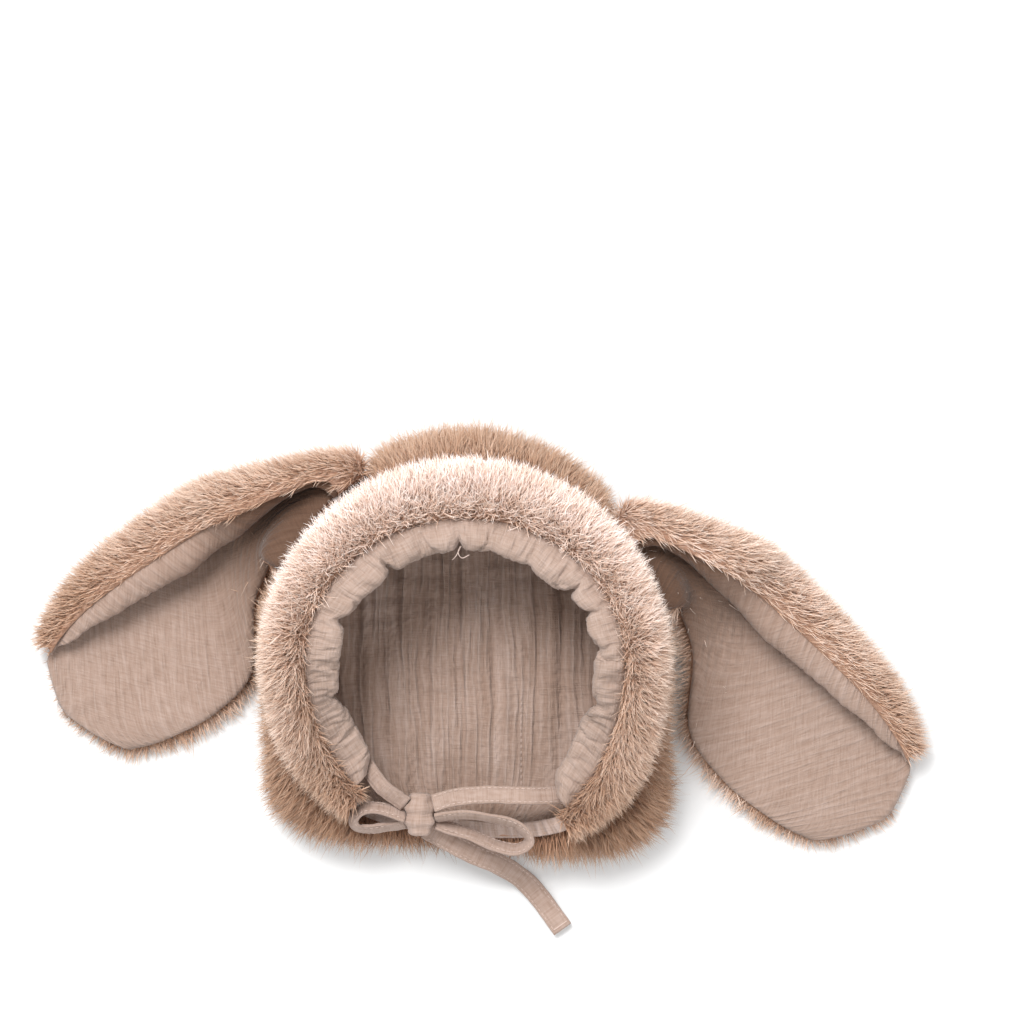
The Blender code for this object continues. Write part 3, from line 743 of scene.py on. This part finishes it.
def gatherHeight(place, step):  # folds that run from forehead to nape, deepest near the binding
    height = 0.0
    for index, (spacing, share) in enumerate(lining["gathers"]):
        drift = 1.7 * soft(place.x + 0.3 * index, place.y * 0.35, 26.0 + 13 * index)
        height += share * sin(2 * pi * place.x / spacing + 2.2 * drift + index)
    strength = 0.35 + 0.65 * ease((place.y + 0.075) / 0.13)
    cross = 0.22 * soft(place.x * 0.5, place.y * 2.2, 90.0)
    seam = -1.1 * max(0.0, 1 - abs(place.x - lining["seamX"]) / 0.0016) * ease((-0.012 - place.y) / 0.02)
    inside = ease((0.985 - step) / 0.12)
    return lining["depth"] * ((0.5 * height + cross) * strength * inside + 0.35 * seam)


def liningShade(place, step):  # painted shade: the cloth darker up the walls and most under the binding at the forehead, where the overhang shades it; blot lightens and darkens it at random
    shadedUnderBinding = ease((step - 0.50) / 0.42) * (0.45 + 0.55 * ease((place.y + 0.05) / 0.09))
    blot = 0.16 * soft(place.x * 1.3, place.y * 0.6, 60.0)
    return 0.82 * (1.0 - 0.30 * shadedUnderBinding + blot)


def makeLining():
    steps = []

    def surface(u, v):
        across, along = 2 * u - 1, 2 * v - 1
        x = across * sqrt(1 - along * along / 2)
        y = along * sqrt(1 - across * across / 2)
        step = min(hypot(x, y), 1.0)
        steps.append(step)
        return liningPoint(atan2(x, y), step)

    made = gridObject("crown_lining_muslin", surface, lining["columns"], lining["rows"], (0.26, 0.26))
    faceUp(made, lambda place: Vector((-place.x, -place.y, 0.08)))
    mesh = made.data
    mesh.update()
    moved = [v.co + v.normal * gatherHeight(v.co, step) for v, step in zip(mesh.vertices, steps)]
    writeNumbers(mesh, "painted_shade", [liningShade(v.co, step) for v, step in zip(mesh.vertices, steps)])
    moveTo(mesh, moved)
    thicken(made, head["muslin"])
    return dress(made, muslinMaterial, "muslin", "crown_lining")


liningPiece = makeLining()
print("stage: lining", len(liningPiece.data.polygons))


# Padded face binding
binding = {
    "columns": 420, "around": 28,
    # degrees from the forehead, share that it narrows, half length in degrees
    "puckers": ((-104, 0.24, 8), (-71, 0.30, 7), (-39, 0.34, 4), (-17, 0.12, 6), (-3, 0.36, 4), (14, 0.10, 5),
                (33, 0.14, 6), (55, 0.38, 4), (68, 0.30, 4), (84, 0.24, 6), (108, 0.26, 8)),
}


def makeBinding():
    width, thickness = head["bindingWidth"], head["bindingThickness"]

    def surface(u, v):
        angle, turn = alongFace(u), 2 * pi * v
        inner = 0.5 - 0.5 * cos(turn)
        pinch = 1.0
        arc = angle * 0.066
        for place, depth, spread in binding["puckers"]:
            slant = 0.016 * cos(turn) * (1 if place % 2 else -1)
            offset = (angle + slant - radians(place)) / radians(spread * 0.6)
            pinch -= (0.3 + 0.5 * inner) * depth / (1.0 + offset * offset) ** 2
        end = 1.0 - 0.35 * ease(1 - u / 0.02) - 0.35 * ease(1 - (1 - u) / 0.02)
        sag = 1.02 + 0.14 * soft(arc, 3.0, 34.0) * inner
        around = 0.006 * sin(turn + 0.8)
        crease = (0.13 * soft(arc + 0.004 * sin(turn), around, 150.0)
                  + 0.09 * soft(arc * 1.3, around * 0.7, 330.0))
        swell = pinch * end * (sag + 0.22 * crease + 0.02 * soft(arc, around * 2.0, 800.0))
        square = (abs(cos(turn)) ** 2.3 + abs(sin(turn)) ** 2.3) ** (-1 / 2.3)
        outer = faceRadius(angle) + width / 2 + 0.0014
        radius = outer - width / 2 * swell * (1 - square * cos(turn))
        middle = faceHeight(angle) - thickness / 2
        flatter = 0.70 + 0.30 * swell
        return polar(angle, radius, middle + thickness / 2 * flatter * square * sin(turn)
                     * (0.92 + 1.1 * crease))

    made = gridObject("face_binding_muslin", surface, binding["columns"], binding["around"],
                      (0.40, 0.046))
    return dress(closeEnds(made), bindingMaterial, "muslin", "face_binding")


puff = {
    "frames": 16, "pressure": 2.6, "cap": 0.0022, "spare": 0.16,
    "sewnOutside": 0.86, "sewnPinch": radians(0.9), "pinchDepth": 0.2, "sewnEnd": radians(1),
}


def puffOut(made):  # the padding swells between its sewn outer edge and the stitched pinches
    start = [v.co.copy() for v in made.data.vertices]
    sewn = []
    for index, place in enumerate(start):
        angle = atan2(place.x, place.y)
        outside = (hypot(place.x, place.y) - faceRadius(angle)) / (head["bindingWidth"] / 2)
        pinch = min(abs(angle - radians(spot)) for spot, depth, spread in binding["puckers"]
                    if depth > puff["pinchDepth"])
        pinched = outside < -0.1 and pinch < puff["sewnPinch"]
        if outside > puff["sewnOutside"] or pinched or abs(angle) > corner(angle) - puff["sewnEnd"]:
            sewn.append(index)
    group = made.vertex_groups.new(name="sewn")
    group.add(sewn, 1.0, "REPLACE")
    cloth = made.modifiers.new("Cloth", "CLOTH")
    settings = cloth.settings
    settings.quality, settings.mass, settings.bending_stiffness = 5, 0.2, 0.02
    settings.tension_stiffness = settings.compression_stiffness = 12.0
    settings.use_pressure, settings.uniform_pressure_force = True, puff["pressure"]
    settings.effector_weights.gravity = 0.0
    settings.shrink_min = -puff["spare"]
    settings.vertex_group_mass = "sewn"
    cloth.collision_settings.use_collision = False
    cloth.point_cache.frame_start, cloth.point_cache.frame_end = 1, puff["frames"]
    for frameNumber in range(1, puff["frames"] + 1):
        scene.frame_set(frameNumber)
    depsgraph = bpy.context.evaluated_depsgraph_get()
    swollen = [v.co.copy() for v in made.evaluated_get(depsgraph).data.vertices]
    made.modifiers.remove(cloth)
    made.vertex_groups.clear()
    scene.frame_set(1)
    moves = [b - a for a, b in zip(start, swollen)]
    for vert, move in zip(made.data.vertices, moves):
        vert.co += move if move.length <= puff["cap"] else move.normalized() * puff["cap"]
    print("binding moved up to", round(max(move.length for move in moves) * 1000, 1), "mm")


bindingPiece = makeBinding()
puffOut(bindingPiece)
print("stage: binding")


# Ears
earForm = {
    "halfWidth": 0.0485, "rollRadius": 0.0140, "rollHeight": 0.0145, "rest": 0.0046,
    "neckLift": 0.0510, "flatShare": 0.52, "rollTurn": radians(216), "seatStep": 0.80,
    "seatGap": 0.0014, "tipRound": 0.085, "lowerRound": 0.150, "tipMiddle": 0.27,
    "peltShare": 0.95, "layerGap": 0.0010, "lip": 0.12, "setback": 0.004, "flatHeight": 0.008,
    "coat": {"Density": 2200000.0}, "seed": 40,
}
earRoot = [  # along, out, drop, roll, roll height
    (0.00, 0.000, 0.002, 0.72, 0.44),
    (0.07, 0.011, 0.008, 0.88, 0.62),
]
earSections = [  # along, upper, lower, roll, lift
    (0.20, 0.90, 0.02, 1.00, 0.42),
    (0.31, 0.97, 0.25, 1.00, 0.10),
    (0.44, 0.97, 0.81, 0.96, 0.00),
    (0.60, 0.93, 0.96, 0.88, 0.00),
    (0.74, 0.85, 0.94, 0.74, 0.00),
    (0.86, 0.70, 0.85, 0.54, 0.00),
    (0.95, 0.50, 0.68, 0.34, 0.00),
    (1.00, 0.24, 0.44, 0.22, 0.00),
]


def curl(across, upper, lower, roll, height, lift):
    flatShare = earForm["flatShare"]
    if across <= flatShare:
        share = across / flatShare
        return mix(-lower, upper - roll, share), lift + 0.25 * height * (1 - share) ** 2
    turn = -pi / 2 + earForm["rollTurn"] * (across - flatShare) / (1 - flatShare)
    return upper - roll + roll * cos(turn), lift + height * (1 + sin(turn))


def earPoint(ear, along, across):
    knots = [row[0] for row in earRoot + earSections]
    near, far = (radians(a) for a in ear["root"])
    start = Vector(ear["start"])
    heading = radians(ear["heading"])
    forward = Vector((cos(heading), sin(heading)))
    upward = Vector((-forward.y, forward.x)) * ear["side"]

    def knotPoint(index):
        if index < len(earRoot):
            place, out, drop, roll, rollHeight = earRoot[index]
            span = abs(near - far) * head["seamHalfWidth"]
            width, height = curl(across, span, 0.0, roll * earForm["rollRadius"],
                                 rollHeight * earForm["rollHeight"], 0.0)
            angle = mix(far, near, width / span)
            seat = crownPoint(angle, earForm["seatStep"])
            radius = hypot(seat.x, seat.y) + earForm["seatGap"] + out
            return polar(angle, radius, seat.z - drop + height)
        place, upper, lower, roll, lift = earSections[index - len(earRoot)]
        width, height = curl(across, upper * earForm["halfWidth"], lower * earForm["halfWidth"],
                             roll * earForm["rollRadius"], roll * earForm["rollHeight"],
                             earForm["rest"] + lift * earForm["neckLift"])
        flat = start + forward * place * ear["length"] + upward * width
        return Vector((flat.x, flat.y, height))

    return smoothBetween(knots, knotPoint, along)


# Besides the object, earGrid gives each point's place along and across the ear.
def earGrid(name, ear, lip, setback, most, columns, rows):
    shares = []

    def surface(u, v):
        across = (1 - v if ear["side"] > 0 else v) * most
        shares.append((u, across))
        longer = lip * ease((across - 0.88) / 0.12) * ease(u / 0.3) * ease((0.99 - u) / 0.22)
        longer += setback * (1 - ease(across / 0.35))
        middle = earForm["tipMiddle"]
        off = min((across - middle) / 0.30, 1.0) if across > middle else 1.0 - across / middle
        rounding = earForm["tipRound"] if across > middle else earForm["lowerRound"]
        cut = rounding * u ** 4 * (1.0 - sqrt(1.0 - 0.95 * off * off))
        return earPoint(ear, 1 - (1 - u) ** 1.12 - cut, across + longer)

    return gridObject(name, surface, columns, rows, (ear["length"] * 1.15, 0.12)), shares


def makeEar(side):
    ear = ears[side]
    heading = radians(ear["heading"])
    forward = Vector((cos(heading), sin(heading), 0.0))
    upward = Vector((-forward.y, forward.x, 0.0)) * ear["side"]
    middle = Vector((*ear["start"], 0.0)) + forward * ear["length"] * 0.5

    skin, shares = earGrid("ear_%s_pelt" % side, ear, 0.0, 0.0, earForm["peltShare"], 60, 44)
    faceUp(skin, lambda place: Vector((0, 0, -1 if place.z < earForm["flatHeight"] else 0)))
    share = {tuple(v.co): s for v, s in zip(skin.data.vertices, shares)}

    def napAt(place, normal):
        u, across = share[tuple(place)]
        aside = upward * (place - middle).dot(upward) / earForm["halfWidth"]
        overLip = 0.30 * ease((across - 0.82) / 0.12)
        flow = noise.noise(place * 45.0) * 0.45
        comb = (forward * mix(0.62 + flow, 0.75, overLip) + aside * mix(0.80, 0.0, overLip)
                - upward * 0.50 * overLip)
        lowEdge = ease(1 - across / 0.16)
        out = (forward * ease((u - 0.75) / 0.25) - upward + Vector((0, 0, 0.75))) * lowEdge
        tipEdge = (forward * 0.9 + Vector((0, 0, 0.7 * ease(1 - across / 0.6)))) * ease((u - 0.88) / 0.10)
        return (comb * (1 - 0.6 * lowEdge) + out + tipEdge + Vector((0, 0, -0.05))).normalized()

    def coverAt(place, normal):
        u, across = share[tuple(place)]
        out = hypot(place.x, place.y) - seamRadius(atan2(place.x, place.y))
        free = ease((out + 0.002) / 0.020)
        under = ease((normal.z + 0.85) / 0.6) if place.z < 0.012 else ease((normal.z + 1.1) / 0.7)
        edge = max(1.5 * ease(1 - across / 0.20), 1.2 * ease((u - 0.88) / 0.10) * ease(1 - across / 0.7))
        short = 1.0 - 0.60 * ease((across - 0.82) / 0.10)
        return max(0.10, edge, mix(0.35, 1.0, free) * mix(0.22, 1.0, under) * short)

    def shadeAt(place):  # the ear fur's painted shade, its own amount for each ear, darker towards the tip
        return ear["painted_shade"] - 0.14 * ease((share[tuple(place)][0] - 0.50) / 0.25)

    combed(skin, napAt, coverAt, shadeAt)
    growFur(skin, "ear_%s_pile" % side, earForm["seed"] + ear["side"], **earForm["coat"])
    thicken(skin, head["furBacking"])
    dress(skin, backingMaterial, "fur", "ear_%s_fur" % side)

    cloth, shares = earGrid("ear_%s_muslin" % side, ear, earForm["lip"], earForm["setback"], 1.0, 110, 84)
    faceUp(cloth, lambda place: Vector((0, 0, 1 if place.z < earForm["flatHeight"] else 0)))
    mesh = cloth.data
    mesh.update()
    depth = head["furBacking"] + earForm["layerGap"] + head["muslin"]
    moved = []
    shades = []
    for vert, (u, across) in zip(mesh.vertices, shares):
        local = vert.co - middle
        x, y = local.dot(forward), local.dot(upward)
        ripple = 0.0006 * soft(x * 0.5, y * 1.6, 120.0) + 0.0010 * soft(x * 0.35, y, 55.0)
        ribs = (0.77 * x + 0.64 * y) / 0.0046 + 1.6 * soft(x, y, 40.0)
        ripple += 0.00032 * sin(2 * pi * ribs) * (0.6 + 0.8 * soft(x, y, 30.0))
        rim = max(ease(1 - across / 0.025), ease((u - 0.985) / 0.015))
        out = forward * (0.0012 * ease((u - 0.96) / 0.04)) - upward * (0.0010 * ease(1 - across / 0.04))
        flap = ease((across - 0.86) / 0.14) * ease((u - 0.15) / 0.25) * ease((1.0 - u) / 0.25)
        wavy = 1.0 + 0.5 * soft(u * 0.10, 2.0, 90.0)
        out += Vector((0, 0, 0.0065)) * flap - upward * 0.0050 * flap * wavy
        moved.append(vert.co + vert.normal * (mix(depth, 0.0022, rim) + ripple * (1 - rim)) + out)
        # painted shade on the muslin: darker at the root, under the band's fur, and inside the curl of the
        # roll
        root = 1.0 - 0.24 * ease(1 - (u - 0.12) / 0.45) - 0.42 * ease(1 - (u - 0.10) / 0.22)
        inRoll = ease((across - 0.46) / 0.16) * ease((0.92 - across) / 0.1)
        shades.append(0.88 * root * (1.0 - 0.22 * inRoll))
    writeNumbers(mesh, "painted_shade", shades)
    moveTo(mesh, moved)
    thicken(cloth, head["muslin"])
    dress(cloth, earMuslinMaterial, "muslin", "ear_%s_lining" % side)


for side in ears:
    makeEar(side)
print("stage: ears")


# Ties, bow and neck band
tie = {"width": 0.0102, "thickness": 0.0024, "bowHeight": 0.0360, "tailRest": 0.0009, "stitchHeight": 0.34}
# centre line (x, y, height as a share of the bow's), tilt, width share, segments
tapes = {
    "tie_left": ([(-0.0500, -0.0470, 0.86), (-0.0400, -0.0597, 1.08), (-0.0288, -0.0684, 1.04)],
                 25, 0.85, 24),
    "tie_right": ([(0.0475, -0.0645, 0.90), (0.0290, -0.0642, 1.10), (0.0120, -0.0638, 1.08),
                   (-0.0040, -0.0648, 1.08), (-0.0157, -0.0682, 1.03)], 20, 0.85, 50),
    "bow_loop_left": ([(-0.0291, -0.0744, 1.00), (-0.0400, -0.0705, 1.04), (-0.0480, -0.0705, 1.04),
                       (-0.0530, -0.0745, 1.00), (-0.0520, -0.0795, 0.94), (-0.0450, -0.0810, 0.88),
                       (-0.0380, -0.0800, 0.86), (-0.0291, -0.0785, 0.88)], 62, 0.90, 80),
    "bow_loop_right": ([(-0.0146, -0.0750, 0.99), (0.0000, -0.0735, 1.02), (0.0140, -0.0755, 1.02),
                        (0.0250, -0.0790, 1.02), (0.0300, -0.0860, 0.96), (0.0240, -0.0905, 0.88),
                        (0.0130, -0.0885, 0.84), (0.0010, -0.0835, 0.83), (-0.0147, -0.0785, 0.86)],
                       62, 0.90, 100),
    "tie_tail": ([(-0.0190, -0.0812, 0.76), (-0.0070, -0.0885, 0.62), (0.0050, -0.0950, 0.50),
                  (0.0155, -0.1000, 0.36), (0.0275, -0.1090, 0.08), (0.0375, -0.1205, 0.05),
                  (0.0465, -0.1330, 0.05)], 0, 1.00, 90),
}


def follow(points, u, reach):  # a place on the smooth line through points, and the way ahead there
    places = [index / (len(points) - 1) for index in range(len(points))]

    def at(share):
        return smoothBetween(places, points.__getitem__, share)

    return at(u), at(min(u + reach, 1.0)) - at(max(u - reach, 0.0))


def tapeFrame(name, u):  # centre of a tape, with its ways across and up
    line, tilt = tapes[name][:2]
    points = [Vector((x, y, z * tie["bowHeight"] + tie["tailRest"])) for x, y, z in line]
    centre, ahead = follow(points, u, 0.02)
    flatSide = Vector((0, 0, 1)).cross(ahead).normalized()
    edgeSide = ahead.cross(flatSide).normalized()
    across = flatSide * cos(radians(tilt)) + edgeSide * sin(radians(tilt))
    return centre, across, ahead.cross(across).normalized()


def makeTape(name):
    share, columns = tapes[name][2:]
    halfWidth, halfThickness = tie["width"] * share / 2, tie["thickness"] / 2

    def section(u, v):
        turn = 2 * pi * v
        centre, across, over = tapeFrame(name, u)
        wide = copysign(abs(cos(turn)) ** 0.55, cos(turn))
        high = copysign(abs(sin(turn)) ** 0.75, sin(turn))
        groove = 1 - 0.42 * max(0.0, 1 - abs(abs(wide) - 0.74) / 0.12)
        pucker = 1 + 0.20 * soft(u * 0.06, wide * 0.002, 260.0)
        wave = 0.0005 * soft(centre.x * 1.0, centre.y + wide * 0.003, 130.0)
        edge = 1 + 0.05 * soft(u * 0.08, copysign(1.0, wide), 210.0)
        return (centre + across * (halfWidth * wide * edge)
                + over * (halfThickness * high * groove * pucker + wave))

    made = gridObject(name + "_tape", section, columns, 32, (0.10, 0.022))
    return dress(closeEnds(made), tapeMaterial, "tie", name)


def makeStitchTree():
    tree, maker, given = newTree("stitchRow", {
        "Spacing": ("Float", 0.0026), "Stitch Length": ("Float", 0.0018), "Thickness": ("Float", 0.0004),
        "Material": ("Material", None),
    })
    line = maker.node("GeometryNodeMeshToCurve", {}, {"Mesh": given("Geometry")})
    spots = maker.node("GeometryNodeResampleCurve", {"mode": "LENGTH"},
                       {"Curve": line, "Length": given("Spacing")})
    tangent = maker.node("GeometryNodeInputTangent")
    facing = maker.node("FunctionNodeAlignRotationToVector", {"axis": "Z"}, {"Vector": tangent})
    bead = maker.node("GeometryNodeMeshUVSphere", {}, {"Segments": 6, "Rings": 5, "Radius": 0.5})
    real = maker.place(spots, bead, facing,
                       maker.join(given("Thickness"), given("Thickness"), given("Stitch Length")))
    return endTree(tree, maker, real, given("Material"))


stitchTree = makeStitchTree()


def sew(name, lines, slot, spacing=0.0026, length=0.0018, thickness=0.0004):  # stitches along some lines
    mesh = bpy.data.meshes.new("sewing_line")
    points, edges = [], []
    for line in lines:
        edges += [(len(points) + i, len(points) + i + 1) for i in range(len(line) - 1)]
        points += line
    mesh.from_pydata(points, edges, [])
    source = addObject("sewing_line", mesh)
    values = {"Spacing": spacing, "Stitch Length": length, "Thickness": thickness,
              "Material": threadMaterial}
    row = runTree(source, stitchTree, values, name)
    pieces.remove(source)
    row.data.shade_smooth()
    return dress(row, threadMaterial, slot)


def edgeStitches(name, start, end, inset):
    aside = tie["width"] * tapes[name][2] / 2 * inset
    above = tie["thickness"] * tie["stitchHeight"]
    rows = []
    for edge in (-1, 1):
        spots = (tapeFrame(name, mix(start, end, i / 60)) for i in range(61))
        rows.append([centre + across * (aside * edge) + over * above for centre, across, over in spots])
    return sew(name + "_stitches", rows, "tie")


for tapeName in tapes:
    makeTape(tapeName)
for tapeName in ("tie_tail", "bow_loop_left", "bow_loop_right", "tie_right"):
    edgeStitches(tapeName, 0.04, 0.96, 0.74)
centre, across, over = tapeFrame("tie_tail", 0.975)
hemRow = [centre + across * (tie["width"] * mix(-0.30, 0.34, i / 11)) + over * (tie["thickness"] * 0.50)
          for i in range(12)]
sew("tie_tail_tack", [hemRow], "tie", 0.0007, 0.0016, 0.0006)
seamRow = []
for i in range(41):
    x, y = lining["seamX"], mix(-0.020, -0.064, i / 40)
    spots = [liningPoint(atan2(x, y), k / 80) for k in range(81)]
    beyond = [spot for spot in spots if spot.xy.length >= hypot(x, y)]
    nearest = min(beyond, key=lambda spot: spot.xy.length)
    seamRow.append(Vector((x, y, nearest.z + head["muslin"] * 0.3)))
sew("crown_lining_seam", [seamRow], "muslin", 0.0028, 0.0019)


looseEnds = {
    "thread_end_top": [(-0.0020, 0.0545, 0.0765), (-0.0030, 0.0515, 0.0790), (-0.0012, 0.0490, 0.0780),
                       (0.0022, 0.0505, 0.0772)],
    "thread_end_top_short": [(-0.0016, 0.0545, 0.0765), (-0.0040, 0.0500, 0.0770),
                             (-0.0058, 0.0480, 0.0740)],
    "thread_end_right": [(0.0500, 0.0520, 0.0815), (0.0525, 0.0500, 0.0835), (0.0545, 0.0505, 0.0845),
                         (0.0548, 0.0530, 0.0850)],
}
threadRadius = 0.00020


def looseThread(name):  # the end of a sewing thread
    path = [Vector(point) for point in looseEnds[name]]

    def tube(u, v):
        centre, ahead = follow(path, u, 0.05)
        ahead.normalize()
        side = ahead.cross(Vector((0.3, 0.2, 1.0))).normalized()
        return centre + (side * cos(2 * pi * v) + ahead.cross(side) * sin(2 * pi * v)) * threadRadius

    made = gridObject(name, tube, 24, 6, (0.02, 0.001))
    return dress(closeEnds(made), threadMaterial, "muslin")


for threadName in looseEnds:
    looseThread(threadName)

knot = {"centre": (-0.0220, -0.0735), "half": (0.0067, 0.0100, 0.0062), "end": 0.72, "fold": 0.10}


def makeKnot():
    def section(u, v):
        along, turn = mix(-1.0, 1.0, u), 2 * pi * v
        swell = sqrt(1.0 - knot["end"] * along ** 4) * (1.0 - knot["fold"] * cos(3 * pi * along))
        swell *= 1 + 0.05 * sin(5 * turn + 2.5 * along) + 0.04 * soft(along * 0.01, turn * 0.004, 300.0)
        return Vector((knot["centre"][0] + knot["half"][0] * swell * cos(turn),
                       knot["centre"][1] + knot["half"][1] * along,
                       tie["bowHeight"] + knot["half"][2] * swell * sin(turn)))

    made = gridObject("bow_knot_tape", section, 40, 40, (0.02, 0.04))
    return dress(closeEnds(made), tapeMaterial, "tie", "bow_knot")


makeKnot()

neckBand = {"width": 0.0078, "thickness": 0.0024, "inset": radians(1.5), "columns": 120, "rows": 10}


def makeNeckBand():
    start = corner(1.0) + neckBand["inset"]
    end = 2 * pi - corner(-1.0) - neckBand["inset"]

    def strip(u, v):
        angle = mix(start, end, u)
        turned = wrapped(angle)
        radius = seamRadius(turned) + (v - 0.95) * neckBand["width"]
        rise = neckBand["thickness"] + 3 * head["clearance"] + 0.25 * neckBand["thickness"] * sin(pi * v)
        ruffle = 0.0006 * soft(angle * 0.09, v * 0.004, 320.0)
        return polar(turned, radius, seamHeight(turned) + rise + ruffle)

    made = gridObject("neck_band_muslin", strip, neckBand["columns"], neckBand["rows"], (0.11, 0.009))
    faceUp(made, lambda place: Vector((0, 0, 1)))
    thicken(made, neckBand["thickness"])
    return dress(made, muslinMaterial, "muslin", "neck_band")


makeNeckBand()
print("stage: ties")


# Floor, light and camera
def makeFloor():
    mesh = bpy.data.meshes.new("floor")
    reach = 6.0
    mesh.from_pydata([(-reach, -reach, 0), (reach, -reach, 0), (reach, reach, 0), (-reach, reach, 0)],
                     [], [(0, 1, 2, 3)])
    floor = addObject("floor", mesh)
    floor.location.z = -0.0003
    material, maker, surface = newMaterial("pale_floor")
    surface["Base Color"].default_value = (0.80, 0.80, 0.80, 1.0)
    surface["Roughness"].default_value = 0.9
    mesh.materials.append(material)


studio = {
    "world": 0.82, "middle": (0.0, 0.0, 0.03),
    "lights": {  # place, size, power
        "key_window": ((-0.45, 0.95, 1.60), 0.9, 39.0),
        "fill_card": ((0.6, -0.9, 1.5), 1.2, 5.0),
    },
}
makeFloor()
for lightName, (place, size, power) in studio["lights"].items():
    lamp = bpy.data.lights.new(lightName, "AREA")
    lamp.shape, lamp.size, lamp.energy = "DISK", size, power
    holder = addObject(lightName, lamp)
    holder.location = place
    holder.rotation_euler = (Vector(studio["middle"]) - Vector(place)).to_track_quat("-Z", "Y").to_euler()
world = bpy.data.worlds.new("studio")
world.use_nodes = True
world.node_tree.nodes["Background"].inputs["Color"].default_value = (1.0, 1.0, 1.0, 1.0)
world.node_tree.nodes["Background"].inputs["Strength"].default_value = studio["world"]
scene.world = world
scene.view_settings.view_transform = "Standard"

cameraView = {"centre": (0.0218, 0.0702), "width": 0.4854, "plane": 0.040, "lens": 100.0, "sensor": 36.0}
cameraData = bpy.data.cameras.new("camera")
cameraData.lens, cameraData.sensor_width = cameraView["lens"], cameraView["sensor"]
camera = addObject("camera", cameraData)
distance = cameraView["width"] * cameraView["lens"] / cameraView["sensor"]
camera.location = (*cameraView["centre"], cameraView["plane"] + distance)
scene.camera = camera
